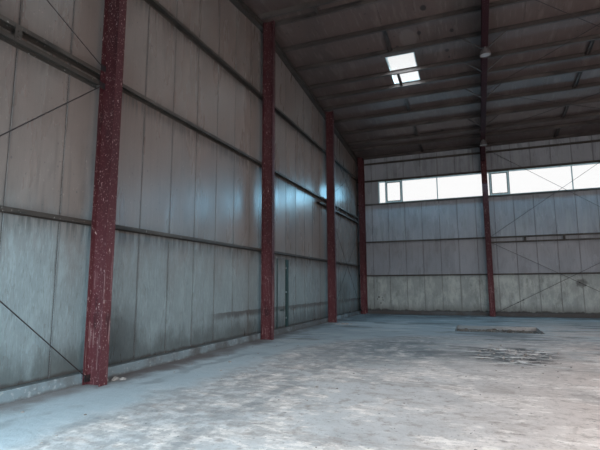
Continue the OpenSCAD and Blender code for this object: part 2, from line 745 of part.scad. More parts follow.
floor_slab();
side_kerbs();
end_kerbs();
corner_columns();
frame_columns();
rafters_back();
rafters_front();
gable_posts();
gable_beams();
side_rails();
gable_rails();
side_struts();
gable_struts();
purlins_back();
purlins_front();
sag_struts();
fly_braces();
roof_rods();
side_rods();
gable_rods();
back_wall_lower();
back_wall_upper();
front_wall_lower();
front_wall_upper();
side_wall_piers();
left_gable_back();
left_gable_front();
left_gable_over_door();
right_gable_wall();
roof_back();
roof_front();
ridge_cap();
eave_trims();
verge_trims();
skylight_frames();
skylight_panes();
window_frames();
window_sashes();
window_glass();
door_frame();
door_leaf();
door_bolt();
high_bay_lamps();
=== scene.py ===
import math
import random

import bpy
from mathutils import Matrix, Vector


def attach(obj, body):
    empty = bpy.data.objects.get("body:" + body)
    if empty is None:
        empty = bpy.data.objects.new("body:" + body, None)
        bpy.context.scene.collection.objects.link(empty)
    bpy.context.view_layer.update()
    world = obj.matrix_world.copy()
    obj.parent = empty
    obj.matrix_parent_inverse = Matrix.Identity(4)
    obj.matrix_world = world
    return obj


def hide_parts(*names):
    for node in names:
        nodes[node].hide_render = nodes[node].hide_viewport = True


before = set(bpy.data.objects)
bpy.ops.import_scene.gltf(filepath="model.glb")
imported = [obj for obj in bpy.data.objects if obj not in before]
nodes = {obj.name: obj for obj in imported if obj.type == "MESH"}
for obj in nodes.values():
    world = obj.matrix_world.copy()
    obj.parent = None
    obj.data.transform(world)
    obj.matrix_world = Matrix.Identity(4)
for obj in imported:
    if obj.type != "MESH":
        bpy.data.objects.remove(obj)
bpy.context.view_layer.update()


# Concrete floor, cast in fields round an open pit near the back wall.
# Worn concrete under pale dust, trodden clods and wide tyre arcs, with one broken, gravelly patch. Painted
# bluish light near the end wall, painted warm light towards the middle, and painted shade darkening the
# floor towards the back wall.
def new_finish(name, colour, roughness):
    """A finish with one flat colour, before patterns are laid over it."""
    finish = bpy.data.materials.new(name)
    finish.use_nodes = True
    surface(finish)["Base Color"].default_value = (*colour, 1)
    surface(finish)["Roughness"].default_value = roughness
    return finish


def surface(finish):
    """The settings of a finish's surface, by name."""
    return finish.node_tree.nodes["Principled BSDF"].inputs


def wire(source, kind, socket, **settings):
    """Adds a node, feeds it from a socket and returns it."""
    tree = source.id_data
    node = tree.nodes.new(kind)
    for name, value in settings.items():
        setattr(node, name, value)
    tree.links.new(source, node.inputs[socket])
    return node


def place_on(finish, scale=(1, 1, 1), shift=(0, 0, 0)):
    """Place on the piece in metres, stretched and shifted."""
    place = finish.node_tree.nodes.new("ShaderNodeTexCoord")
    turn = wire(place.outputs["Object"], "ShaderNodeMapping", "Vector")
    turn.inputs["Scale"].default_value = scale
    turn.inputs["Location"].default_value = shift
    return turn.outputs["Vector"]


def grain(finish, scale, stretch=(1, 1, 1), detail=4.0, rough=0.5):
    """Cloudy pattern as a value from 0 to 1."""
    noise = wire(place_on(finish, stretch), "ShaderNodeTexNoise", "Vector")
    noise.inputs["Scale"].default_value = scale
    noise.inputs["Detail"].default_value = detail
    noise.inputs["Roughness"].default_value = rough
    return noise.outputs["Fac"]


def place_along(finish, axis):
    """Distance along one axis of the hall, in metres."""
    return wire(place_on(finish), "ShaderNodeSeparateXYZ", "Vector").outputs[axis]


def mask(value, low, high):
    """0 at one level of a pattern, 1 at another, smooth between."""
    step = wire(value, "ShaderNodeMapRange", "Value", interpolation_type="SMOOTHSTEP")
    step.inputs["From Min"].default_value = low
    step.inputs["From Max"].default_value = high
    return step.outputs["Result"]


def worked(operation, one, two):
    """Two values, or a value and a number, added, multiplied or compared."""
    sum_node = wire(one, "ShaderNodeMath", 0, operation=operation)
    if isinstance(two, (int, float)):
        sum_node.inputs[1].default_value = two
    else:
        one.id_data.links.new(two, sum_node.inputs[1])
    return sum_node.outputs[0]


def both(one, two):
    """Product of two masks."""
    return worked("MULTIPLY", one, two)


def ragged(distance, pattern, depth):
    """A distance that wanders with a pattern, for edges that aren't straight."""
    return worked("ADD", distance, worked("MULTIPLY", pattern, depth))


def spot(finish, centre, reach, wander=0.0, scale=2.0, inner=0.82):
    """1 inside an ellipsoid of the given half-widths, 0 outside, with a ragged or soft edge."""
    shift = [-c / r for c, r in zip(centre, reach)]
    away = place_on(finish, [1 / r for r in reach], shift)
    away = wire(away, "ShaderNodeVectorMath", 0, operation="LENGTH").outputs["Value"]
    if wander:
        wobble = worked("MULTIPLY_ADD", grain(finish, scale, detail=8.0, rough=0.6), wander)
        wobble.node.inputs[2].default_value = -wander / 2
        away = worked("ADD", away, wobble)
    return mask(away, 1.0, inner)


def tint(finish, over, where, strength=1.0):
    """Lays a second colour over the finish where a mask says."""
    tree = finish.node_tree
    colour = surface(finish)["Base Color"]
    mix = wire(worked("MULTIPLY", where, strength), "ShaderNodeMix", "Factor", data_type="RGBA")
    if colour.is_linked:
        tree.links.new(colour.links[0].from_socket, mix.inputs["A"])
    else:
        mix.inputs["A"].default_value = colour.default_value
    mix.inputs["B"].default_value = (*over, 1)
    tree.links.new(mix.outputs["Result"], colour)


def patches(finish, over, strength, edge, *pattern, within=None, **settings):
    """Lays a second colour over the finish in cloudy patches; edge is where they begin and are full."""
    where = mask(grain(finish, *pattern, **settings), *edge)
    if within is not None:
        where = both(within, where)
    tint(finish, over, where, strength)


def relief(finish, depth, *pattern, **settings):
    """Lifts the surface by a cloudy pattern, in metres."""
    bump = wire(grain(finish, *pattern, **settings), "ShaderNodeBump", "Height")
    bump.inputs["Distance"].default_value = depth
    normal = surface(finish)["Normal"]
    if normal.is_linked:
        finish.node_tree.links.new(normal.links[0].from_socket, bump.inputs["Normal"])
    finish.node_tree.links.new(bump.outputs["Normal"], normal)


def worn_gloss(finish, low, high, *pattern, **settings):
    """Lets a cloudy pattern move the roughness between two values."""
    step = wire(grain(finish, *pattern, **settings), "ShaderNodeMapRange", "Value")
    step.inputs["To Min"].default_value = low
    step.inputs["To Max"].default_value = high
    finish.node_tree.links.new(step.outputs["Result"], surface(finish)["Roughness"])


def give(piece, *finishes):
    """Gives a piece its finishes in place of those that it has."""
    piece.data.materials.clear()
    for finish in finishes:
        piece.data.materials.append(finish)


def coat(finish, *names):
    """Gives CAD nodes their finish."""
    for name in names:
        give(nodes[name], finish)


def clear_selection():
    bpy.ops.object.select_all(action="DESELECT")


def pick(piece):
    """Selects one piece alone and makes it the active one."""
    clear_selection()
    piece.select_set(True)
    bpy.context.view_layer.objects.active = piece


def made(name, add, **settings):
    """A new mesh from one of Blender's own forms, with nothing else selected."""
    clear_selection()
    add(**settings)
    bpy.context.object.name = name
    return bpy.context.object


def settle(piece):
    """Puts a piece's place, turn and scale into its mesh."""
    pick(piece)
    bpy.ops.object.transform_apply(location=True, rotation=True, scale=True)
    return piece


def press(piece, modifier):
    """Applies a modifier."""
    pick(piece)
    bpy.ops.object.modifier_apply(modifier=modifier.name)
    return piece


def edit(piece, kind, chosen):
    """Opens a piece in edit mode with only the chosen faces or edges selected."""
    pick(piece)
    bpy.ops.object.mode_set(mode="EDIT")
    bpy.ops.mesh.select_mode(type=kind)
    bpy.ops.mesh.select_all(action="DESELECT")
    bpy.ops.object.mode_set(mode="OBJECT")
    mesh = piece.data
    for part in (mesh.polygons if kind == "FACE" else mesh.edges):
        part.select = chosen(mesh, part)
    bpy.ops.object.mode_set(mode="EDIT")


def done():
    bpy.ops.object.mode_set(mode="OBJECT")


def every(mesh, part):
    return True


def cut_through(piece, point, normal, drop=False):
    """Cuts a piece along a plane; with drop, what lies beyond goes and the cut is closed."""
    edit(piece, "FACE", every)
    bpy.ops.mesh.bisect(plane_co=point, plane_no=normal, use_fill=drop, clear_outer=drop)
    done()


def remove_faces(piece, test):
    edit(piece, "FACE", test)
    bpy.ops.mesh.delete(type="FACE")
    done()


def roughen(piece, size, depth, direction="NORMAL", group=""):
    """Pushes the surface in and out by a cloudy pattern, in metres."""
    clouds = bpy.data.textures.new(piece.name + "_clouds", "CLOUDS")
    clouds.noise_scale = size
    push = piece.modifiers.new("push", "DISPLACE")
    push.texture = clouds
    push.strength = depth
    push.direction = direction
    push.texture_coords = "LOCAL"
    push.vertex_group = group
    return press(piece, push)


def thicken(piece, depth):
    """Gives a sheet its thickness, on the side away from its face."""
    wall = piece.modifiers.new("wall", "SOLIDIFY")
    wall.thickness = depth
    wall.offset = -1
    return press(piece, wall)


def join(name, parts):
    """Makes several meshes one piece."""
    pick(parts[0])
    for part in parts:
        part.select_set(True)
    if len(parts) > 1:
        bpy.ops.object.join()
    parts[0].name = name
    return parts[0]


def copy_of(piece, name):
    twin = piece.copy()
    twin.data = piece.data.copy()
    twin.name = name
    bpy.context.collection.objects.link(twin)
    return twin


def set_at(piece, place, turn=(0, 0, 0), size=(1, 1, 1)):
    """A copy of a piece, turned, sized and put in its place."""
    twin = copy_of(piece, piece.name + "_copy")
    twin.location = place
    twin.rotation_euler = turn
    twin.scale = size
    return settle(twin)


def finish_piece(piece, slot, finishes, *replaced, body="hall"):
    """Puts the finishes on a piece, hangs it on its body and hides the nodes it stands for."""
    if finishes:
        give(piece, *finishes)
    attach(piece, body)
    if replaced:
        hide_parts(*replaced)


FLOOR_TOP = 0.2
FLOOR_END = 18.24
FLOOR_SIDE = 11.87
PIT_X = (-13.36, -10.79)
PIT_Y = (4.0, 6.2)
PATCH = (-12.05, -0.75)
PATCH_REACH = (1.15, 1.55)
PATCH_MARGIN = 0.25

floor = made("floor", bpy.ops.mesh.primitive_grid_add, x_subdivisions=146, y_subdivisions=95, size=1,
             location=(0, 0, FLOOR_TOP))
floor.scale = (2 * FLOOR_END, 2 * FLOOR_SIDE, 1)
settle(floor)
for x in PIT_X:
    cut_through(floor, (x, 0, 0), (1, 0, 0))
for y in PIT_Y:
    cut_through(floor, (0, y, 0), (0, 1, 0))
remove_faces(floor, lambda mesh, part: PIT_X[0] < part.center.x < PIT_X[1]
             and PIT_Y[0] < part.center.y < PIT_Y[1])
edit(floor, "FACE", lambda mesh, part: abs(part.center.x - PATCH[0]) < PATCH_REACH[0] + PATCH_MARGIN
     and abs(part.center.y - PATCH[1]) < PATCH_REACH[1] + PATCH_MARGIN)
bpy.ops.mesh.subdivide(number_cuts=4)
done()
broken = floor.vertex_groups.new(name="broken")
for vertex in floor.data.vertices:
    away = math.hypot((vertex.co.x - PATCH[0]) / PATCH_REACH[0], (vertex.co.y - PATCH[1]) / PATCH_REACH[1])
    if away < 1:
        broken.add([vertex.index], min(1.0, 2 - 2 * away), "REPLACE")
roughen(floor, 1.3, 0.008, "Z")
roughen(floor, 0.11, 0.035, "Z", "broken")
thicken(floor, 0.18)

dusty_floor = new_finish("dusty_floor", (0.52, 0.53, 0.55), 0.85)
across_x = place_along(dusty_floor, "X")
across_y = place_along(dusty_floor, "Y")
# Painted warm light: the floor turns lighter and warmer from x = -15 towards the middle.
tint(dusty_floor, (0.67, 0.55, 0.50), mask(across_x, -15.0, -9.5), 0.95)
trodden = grain(dusty_floor, 0.55, detail=6.0, rough=0.6)
tint(dusty_floor, (0.30, 0.30, 0.31), mask(trodden, 0.50, 0.66), 0.45)
clods = grain(dusty_floor, 5.5, detail=12.0, rough=0.68)
crust = grain(dusty_floor, 1.3, detail=10.0, rough=0.65)
tint(dusty_floor, (0.78, 0.70, 0.665), mask(crust, 0.46, 0.64), 0.5)
tint(dusty_floor, (0.27, 0.225, 0.205), mask(clods, 0.50, 0.66), 0.6)
streaks = grain(dusty_floor, 2.4, (0.45, 1.3, 1), 14.0, 0.76)
tint(dusty_floor, (0.30, 0.25, 0.23), mask(streaks, 0.50, 0.62), 0.5)
patches(dusty_floor, (0.88, 0.82, 0.79), 0.85, (0.49, 0.60), 7.0, (0.5, 1.2, 1), 14.0, 0.76,
        within=mask(crust, 0.44, 0.56))
patches(dusty_floor, (0.16, 0.155, 0.15), 0.6, (0.57, 0.68), 19.0, detail=6.0, rough=0.7)
patches(dusty_floor, (0.05, 0.05, 0.05), 0.8, (0.72, 0.76), 17.0, detail=2.0)
from_centre = wire(place_on(dusty_floor, shift=(11.5, 2.2, 0)), "ShaderNodeSeparateXYZ", "Vector")
only_beyond = worked("MAXIMUM", from_centre.outputs["Y"], 0)
curved = wire(from_centre.outputs["X"], "ShaderNodeCombineXYZ", "X")
dusty_floor.node_tree.links.new(only_beyond, curved.inputs["Y"])
track = wire(curved.outputs["Vector"], "ShaderNodeVectorMath", 0, operation="LENGTH").outputs["Value"]
off_track = ragged(track, grain(dusty_floor, 0.8, detail=6.0, rough=0.6), 1.1)
# Painted bluish light on the floor towards the end wall, outside the tyre arcs.
tint(dusty_floor, (0.36, 0.45, 0.51), both(mask(off_track, 5.3, 6.1), mask(across_x, -10.0, -13.0)), 0.85)
driven = both(mask(off_track, 3.6, 4.3), mask(off_track, 6.0, 5.5))
patches(dusty_floor, (0.24, 0.25, 0.265), 0.6, (0.42, 0.58), 4.5, detail=8.0, rough=0.7, within=driven)
rut = worked("SINE", worked("MULTIPLY", off_track, 9.0), 0)
patches(dusty_floor, (0.17, 0.19, 0.21), 0.45, (0.45, 0.62), 1.3, detail=6.0,
        within=both(mask(rut, 0.35, 0.9), mask(off_track, 3.2, 4.2)))
gravel = spot(dusty_floor, (*PATCH, FLOOR_TOP), (*PATCH_REACH, 9), 0.9, 2.2, 0.6)
patches(dusty_floor, (0.050, 0.036, 0.029), 0.95, (0.42, 0.50), 3.2, (0.8, 1.0, 1), 8.0, 0.7, within=gravel)
patches(dusty_floor, (0.88, 0.85, 0.83), 0.95, (0.54, 0.58), 5.0, (0.3, 1.0, 1), 4.0, within=gravel)
grey_patch = spot(dusty_floor, (-14.4, -0.6, FLOOR_TOP), (2.1, 3.2, 9), 0.9, 0.7, 0.3)
patches(dusty_floor, (0.10, 0.125, 0.145), 0.8, (0.36, 0.56), 3.0, detail=8.0, rough=0.7, within=grey_patch)
end_dirt = ragged(across_x, grain(dusty_floor, 1.6, detail=8.0, rough=0.65), 1.2)
tint(dusty_floor, (0.17, 0.145, 0.14), mask(end_dirt, -17.0, -17.6), 0.75)
tint(dusty_floor, (0.10, 0.075, 0.07), both(mask(end_dirt, -16.9, -17.5), mask(across_y, -6.6, -5.0)), 0.65)
back_dirt_and_shade = ragged(across_y, grain(dusty_floor, 1.1, detail=8.0, rough=0.65), 3.2)
# Painted shade on the far floor, bluish towards the end wall here and warm towards the middle below.
tint(dusty_floor, (0.13, 0.155, 0.175), both(mask(back_dirt_and_shade, -3.5, 5.5), mask(across_x, -9.0, -12.5)), 0.62)
warm_far_shade = both(mask(back_dirt_and_shade, -1.5, 8.0), mask(across_x, -12.5, -9.0))
tint(dusty_floor, (0.225, 0.190, 0.180), warm_far_shade, 0.62)
# Painted shade deepening towards the back wall; the last band along the back wall is dirt.
tint(dusty_floor, (0.12, 0.125, 0.132), mask(back_dirt_and_shade, 6.0, 10.5), 0.5)
tint(dusty_floor, (0.075, 0.07, 0.072), mask(back_dirt_and_shade, 10.4, 13.0), 0.85)
swept = mask(back_dirt_and_shade, -2.5, 3.0)
patches(dusty_floor, (0.34, 0.37, 0.39), 0.55, (0.51, 0.57), 0.6, (0.45, 1.0, 1), 10.0, 0.7, within=swept)
patches(dusty_floor, (0.045, 0.046, 0.050), 0.55, (0.52, 0.59), 0.9, (0.4, 1.1, 1), 10.0, 0.7, within=swept)
relief(dusty_floor, 0.02, 5.5, detail=12.0, rough=0.68)
relief(dusty_floor, 0.006, 34.0, detail=6.0, rough=0.7)
worn_gloss(dusty_floor, 0.7, 0.95, 0.55, detail=6.0, rough=0.6)
finish_piece(floor, "concrete", [dusty_floor], "floor_slab")


# Rubble in the pit and loose crumbs on the floor.
# Broken concrete, clods and grit: the pit is filled with it up to a hand's breadth below the floor.
def stone(name, seed, size, rings=2):
    """One broken lump, roughly round, flattened and dented."""
    lump = made(name, bpy.ops.mesh.primitive_ico_sphere_add, subdivisions=rings, radius=size,
                location=(seed * 3.7, 0, 0))
    settle(lump)
    roughen(lump, size * 1.3, size * 0.9)
    lump.location = (-seed * 3.7, 0, 0)
    lump.scale = (1.0, 1.0, 0.6)
    return settle(lump)


def scatter(name, kinds, spots, rng):
    """Stones of several kinds at given places, each turned and sized in its own way."""
    heap = []
    for x, y, z, size in spots:
        grow = size * rng.uniform(0.7, 1.3)
        kind = rng.choice(kinds)
        turn = (0, 0, rng.uniform(0, 6.28))
        heap.append(set_at(kind, (x, y, z), turn, (grow, grow * rng.uniform(0.6, 1), grow * 0.8)))
    return join(name, heap)


rubble_brown = new_finish("rubble_brown", (0.13, 0.115, 0.105), 0.95)
patches(rubble_brown, (0.045, 0.040, 0.037), 0.8, (0.45, 0.62), 3.0, detail=8.0, rough=0.65)
patches(rubble_brown, (0.40, 0.37, 0.34), 0.7, (0.58, 0.68), 14.0, detail=8.0)
relief(rubble_brown, 0.01, 40.0, detail=6.0, rough=0.7)

rng = random.Random(11)
fill = made("pit_fill", bpy.ops.mesh.primitive_grid_add, x_subdivisions=52, y_subdivisions=44, size=1,
            location=(sum(PIT_X) / 2, sum(PIT_Y) / 2, 0.075))
fill.scale = (PIT_X[1] - PIT_X[0] - 0.02, PIT_Y[1] - PIT_Y[0] - 0.02, 1)
settle(fill)
roughen(fill, 0.45, 0.05, "Z")
roughen(fill, 0.09, 0.025, "Z")
thicken(fill, 0.03)
lumps = [stone("lump_%d" % k, k + 1, 1.0) for k in range(5)]
pit_spots = []
for k in range(120):
    x = rng.uniform(PIT_X[0] + 0.1, PIT_X[1] - 0.1)
    y = rng.uniform(PIT_Y[0] + 0.1, PIT_Y[1] - 0.1)
    pit_spots.append((x, y, 0.085, rng.choice((0.03, 0.04, 0.05, 0.09))))
stones = scatter("pit_stones", lumps, pit_spots, rng)
finish_piece(join("pit_rubble", [fill, stones]), "concrete", [rubble_brown])

crumbs = [stone("crumb_%d" % k, k + 9, 1.0, 1) for k in range(4)]
floor_spots = [(-18.02, -5.62, 0.205, 0.07), (-17.93, -5.55, 0.205, 0.05), (-18.12, -5.70, 0.205, 0.05)]
for count, draw, x_range, y_range, sizes in (
        (30, rng.gauss, (-17.42, 0.16), (5.45, 0.22), (0.02, 0.06)),
        (70, rng.gauss, (PATCH[0], 0.5), (PATCH[1], 0.7), (0.012, 0.04)),
        (230, rng.uniform, (-18.0, 18.0), (-11.6, 11.6), (0.010, 0.032)),
        (120, rng.uniform, (-17.8, -7.0), (-9.5, 4.0), (0.008, 0.024))):
    floor_spots += [(draw(*x_range), draw(*y_range), 0.203, rng.uniform(*sizes)) for k in range(count)]
crumb_grey = new_finish("crumb_grey", (0.30, 0.28, 0.27), 0.95)
patches(crumb_grey, (0.14, 0.12, 0.11), 0.8, (0.5, 0.6), 2.0, detail=6.0, rough=0.65)
relief(crumb_grey, 0.006, 60.0, detail=6.0)
finish_piece(scatter("floor_crumbs", crumbs, floor_spots, rng), "concrete", [crumb_grey])
for lump in lumps + crumbs:
    bpy.data.objects.remove(lump)


# Kerbs under the walls.
# Concrete cast against boards, their inner arris rounded and chipped, darker on the ledge in front
# of the panels, their grey tinted blue as painted bluish daylight.
WALL_IN = 12.0
WALL_OUT = 12.12
HALL_END = 18.37
GABLE_OUT = 18.49
KERB_TOP = 0.37
KERB_SIDE = 11.87
KERB_END = 18.24


def slab(name, low, high):
    """A block between two corners, to be shaped further."""
    middle = [(a + b) / 2 for a, b in zip(low, high)]
    piece = made(name, bpy.ops.mesh.primitive_cube_add, size=1, location=middle)
    piece.scale = [b - a for a, b in zip(low, high)]
    return settle(piece)


def edge_runs(axis, test=None):
    """True for edges that run along one axis, and pass a test on their middle."""
    def chosen(mesh, part):
        a, b = (mesh.vertices[i].co for i in part.vertices)
        run = b - a
        return abs(run[axis]) > 0.99 * run.length and (test is None or test((a + b) / 2))
    return chosen


def fold_edges(piece, axis, width, test=None, segments=1):
    """Bevels edges that run along one axis."""
    edit(piece, "EDGE", edge_runs(axis, test))
    bpy.ops.mesh.bevel(offset=width, offset_type="OFFSET", segments=segments)
    done()


def mirrored(piece, name, across):
    """The same piece on the other side of the hall, its faces turned outwards again."""
    twin = copy_of(piece, name)
    twin.scale = [-1 if axis == across else 1 for axis in range(3)]
    settle(twin)
    edit(twin, "FACE", every)
    bpy.ops.mesh.normals_make_consistent(inside=False)
    done()
    return twin


def all_corners(name, parts):
    """Parts of one quarter of the hall, joined and repeated in the other three."""
    row = join(name, parts)
    for across in (0, 1):
        row = join(name, [row, mirrored(row, "far_row", across)])
    return row


def upward(finish):
    """1 on faces that look up."""
    lie = finish.node_tree.nodes.new("ShaderNodeNewGeometry")
    split = wire(lie.outputs["Normal"], "ShaderNodeSeparateXYZ", "Vector")
    return mask(split.outputs["Z"], 0.8, 0.95)


# The concrete's grey is tinted blue as painted bluish daylight.
kerb_concrete = new_finish("kerb_concrete", (0.195, 0.245, 0.275), 0.9)
patches(kerb_concrete, (0.11, 0.105, 0.105), 0.6, (0.48, 0.62), 1.2, detail=8.0, rough=0.65)
patches(kerb_concrete, (0.38, 0.40, 0.41), 0.6, (0.56, 0.68), 16.0, detail=8.0)
patches(kerb_concrete, (0.05, 0.05, 0.05), 0.7, (0.68, 0.72), 21.0, detail=3.0)
# Faces that look up are darker.
tint(kerb_concrete, (0.085, 0.10, 0.105), upward(kerb_concrete), 0.8)
kerb_foot = ragged(place_along(kerb_concrete, "Z"), grain(kerb_concrete, 4.0, detail=6.0), 0.1)
tint(kerb_concrete, (0.10, 0.085, 0.08), mask(kerb_foot, 0.30, 0.25), 0.7)
from_ridge = worked("ABSOLUTE", place_along(kerb_concrete, "Y"), 0)
along_side = ragged(from_ridge, grain(kerb_concrete, 2.0, detail=6.0), 0.3)
tint(kerb_concrete, (0.060, 0.053, 0.053), mask(along_side, 11.85, 12.0), 0.75)
shaded_end = mask(place_along(kerb_concrete, "Y"), -6.0, -2.0)
patches(kerb_concrete, (0.075, 0.066, 0.064), 0.75, (0.36, 0.56), 1.4, detail=6.0, within=shaded_end)
relief(kerb_concrete, 0.008, 30.0, detail=8.0, rough=0.65)


def kerb(name, low, high, axis, arris):
    """One length of kerb, uneven along its run, with its inner arris worn round."""
    piece = slab(name, low, high)
    edit(piece, "EDGE", edge_runs(axis))
    bpy.ops.mesh.subdivide(number_cuts=int((high[axis] - low[axis]) / 0.3))
    done()
    fold_edges(piece, axis, 0.016, arris, 2)
    return roughen(piece, 0.25, 0.006)


side = kerb("kerb", (-GABLE_OUT, KERB_SIDE, 0.003), (GABLE_OUT, WALL_OUT - 0.003, KERB_TOP - 0.002), 0,
            lambda middle: middle.y < KERB_SIDE + 0.01 and middle.z > 0.3)
end = kerb("end_kerb", (-GABLE_OUT + 0.003, -KERB_SIDE, 0.003), (-KERB_END, KERB_SIDE, KERB_TOP - 0.002), 1,
           lambda middle: middle.x > -KERB_END - 0.01 and middle.z > 0.3)
for name, piece, across in (("side_kerbs", side, 1), ("end_kerbs", end, 0)):
    both_kerbs = join(name + "_cast", [piece, mirrored(piece, "far_kerb", across)])
    finish_piece(both_kerbs, "concrete", [kerb_concrete], name)


# Portal frames, corner columns and end-wall posts.
# Welded I-sections of steel plate in a dark red primer, spotted and run down with white from birds
# and splashes, paler pink towards the foot. The knees and ridge joints are bolted through end plates.
red_primer = new_finish("red_primer", (0.043, 0.010, 0.0125), 0.6)
low_down = ragged(place_along(red_primer, "Z"), grain(red_primer, 1.5, (1, 1, 0.4), 6.0), 1.5)
tint(red_primer, (0.098, 0.029, 0.035), mask(low_down, 4.6, 1.8), 0.8)
patches(red_primer, (0.022, 0.008, 0.010), 0.7, (0.55, 0.70), 5.0, (1, 1, 0.3), 6.0)
patches(red_primer, (0.50, 0.38, 0.37), 0.75, (0.67, 0.70), 34.0, (1, 1, 0.30), 3.0)
patches(red_primer, (0.62, 0.50, 0.48), 0.75, (0.66, 0.70), 74.0, (1, 1, 0.45), 2.0)
patches(red_primer, (0.26, 0.17, 0.17), 0.7, (0.60, 0.66), 30.0, (1, 1, 0.06), 3.0,
        within=mask(low_down, 3.4, 1.8))
relief(red_primer, 0.0012, 120.0, detail=3.0)
worn_gloss(red_primer, 0.45, 0.8, 8.0)
coat(red_primer, "corner_columns", "frame_columns", "gable_posts")

beam_primer = new_finish("beam_primer", (0.027, 0.010, 0.013), 0.6)
patches(beam_primer, (0.042, 0.020, 0.024), 0.8, (0.45, 0.68), 1.1, (1, 0.4, 1), 6.0)
patches(beam_primer, (0.022, 0.012, 0.014), 0.7, (0.55, 0.70), 4.0, (1, 0.4, 1), 6.0)
patches(beam_primer, (0.26, 0.21, 0.21), 0.7, (0.67, 0.71), 24.0, detail=3.0)
relief(beam_primer, 0.0012, 120.0, detail=3.0)
worn_gloss(beam_primer, 0.7, 0.95, 8.0)
surface(beam_primer)["Specular IOR Level"].default_value = 0.12
coat(beam_primer, "rafters_back", "rafters_front")

BAY = 6.0
FRAMES = 5
FIRST_FRAME = -2 * BAY
ROOF_SLOPE = 0.1
LEAN = math.sqrt(1 + ROOF_SLOPE ** 2)
RIDGE_FRAME = 9.58
KNEE = 11.39
PLATE = 0.025
COLUMN_FLANGE = 0.016
FRONT = math.radians(90)
KNEE_BOLTS = (7.65, 7.78, 7.90, 8.10, 8.22, 8.34)
RIDGE_BOLTS = (9.20, 9.33, 9.46)


def hex_bolt(name, across):
    """Hexagon head on its washer, seat at zero, head up."""
    head = made("head", bpy.ops.mesh.primitive_cylinder_add, vertices=6, radius=across * 0.577,
                depth=across * 0.42, location=(0, 0, across * 0.31))
    edit(head, "FACE", lambda mesh, part: part.normal.z > 0.9)
    bpy.ops.mesh.inset(thickness=across * 0.07)
    bpy.ops.transform.translate(value=(0, 0, across * 0.05))
    done()
    settle(head)
    washer = made("washer", bpy.ops.mesh.primitive_cylinder_add, vertices=10, radius=across * 0.85,
                  depth=across * 0.12, location=(0, 0, across * 0.06))
    return join(name, [head, settle(washer)])


def in_a_row(piece, count, step):
    """Copies a piece in a row, the copies in its own mesh."""
    row = piece.modifiers.new("row", "ARRAY")
    row.use_relative_offset = False
    row.use_constant_offset = True
    row.constant_offset_displace = step
    row.count = count
    return press(piece, row)


def plate_bolts(name, heights, near, far):
    """Two columns of bolts in the first inner frame's end plates, heads on both sides."""
    return join(name, [set_at(bolt, (FIRST_FRAME + x, y, z), (turn, 0, 0)) for x in (-0.055, 0.055)
                       for z in heights for y, turn in ((near, FRONT), (far, -FRONT))])


bolt = hex_bolt("bolt", 0.030)
knees = plate_bolts("knee_bolts", KNEE_BOLTS, KNEE - PLATE, KNEE + COLUMN_FLANGE)
far_knees = mirrored(knees, "far_knee_bolts", 1)
ridge = plate_bolts("ridge_bolts", RIDGE_BOLTS, -PLATE, PLATE)
frame_bolts = in_a_row(join("frame_bolts", [knees, far_knees, ridge]), FRAMES, (BAY, 0, 0))
finish_piece(frame_bolts, "primer_red", [beam_primer])

lug_plate = slab("lug_plate", (-11.875, 11.392, 1.43), (-11.838, 11.404, 1.49))
fold_edges(lug_plate, 1, 0.008)
ring = settle(made("ring", bpy.ops.mesh.primitive_torus_add, location=(-11.835, 11.398, 1.385),
                   rotation=(FRONT, 0, 0), major_radius=0.062, minor_radius=0.008, major_segments=20,
                   minor_segments=6))
worn_steel = new_finish("worn_steel", (0.20, 0.20, 0.195), 0.45)
patches(worn_steel, (0.07, 0.05, 0.045), 0.7, (0.5, 0.65), 14.0)
relief(worn_steel, 0.0008, 120.0)
finish_piece(join("column_ring", [lug_plate, ring]), "rod_paint", [worn_steel])


# Rails, purlins, struts and ties between the frames.
# Cold-formed steel channels in a dull grey-green primer, dusty where they look up, bolted to cleats;
# crossed steel rods with turnbuckles brace the second bay.
rail_primer = new_finish("rail_primer", (0.040, 0.033, 0.029), 0.5)
patches(rail_primer, (0.078, 0.066, 0.059), 0.7, (0.47, 0.70), 1.6, (0.5, 0.5, 1), 6.0)
patches(rail_primer, (0.022, 0.021, 0.020), 0.75, (0.54, 0.70), 5.0, (0.4, 0.4, 1), 6.0)
tint(rail_primer, (0.21, 0.195, 0.185), upward(rail_primer), 0.8)
patches(rail_primer, (0.42, 0.40, 0.38), 0.6, (0.69, 0.73), 30.0, detail=2.0)
relief(rail_primer, 0.0010, 90.0)
worn_gloss(rail_primer, 0.32, 0.65, 6.0)
coat(rail_primer, "gable_beams", "side_rails", "gable_rails", "side_struts", "gable_struts")

purlin_primer = new_finish("purlin_primer", (0.050, 0.041, 0.039), 0.5)
patches(purlin_primer, (0.090, 0.076, 0.072), 0.7, (0.47, 0.70), 1.6, (0.5, 0.5, 1), 6.0)
patches(purlin_primer, (0.024, 0.022, 0.023), 0.75, (0.54, 0.70), 5.0, (0.4, 0.4, 1), 6.0)
relief(purlin_primer, 0.0010, 90.0)
worn_gloss(purlin_primer, 0.4, 0.7, 6.0)
coat(purlin_primer, "purlins_back", "purlins_front", "sag_struts", "fly_braces")

rod_steel = new_finish("rod_steel", (0.020, 0.017, 0.019), 0.6)
patches(rod_steel, (0.050, 0.030, 0.027), 0.7, (0.5, 0.7), 9.0)
relief(rod_steel, 0.0006, 150.0)
coat(rod_steel, "roof_rods", "side_rods", "gable_rods")

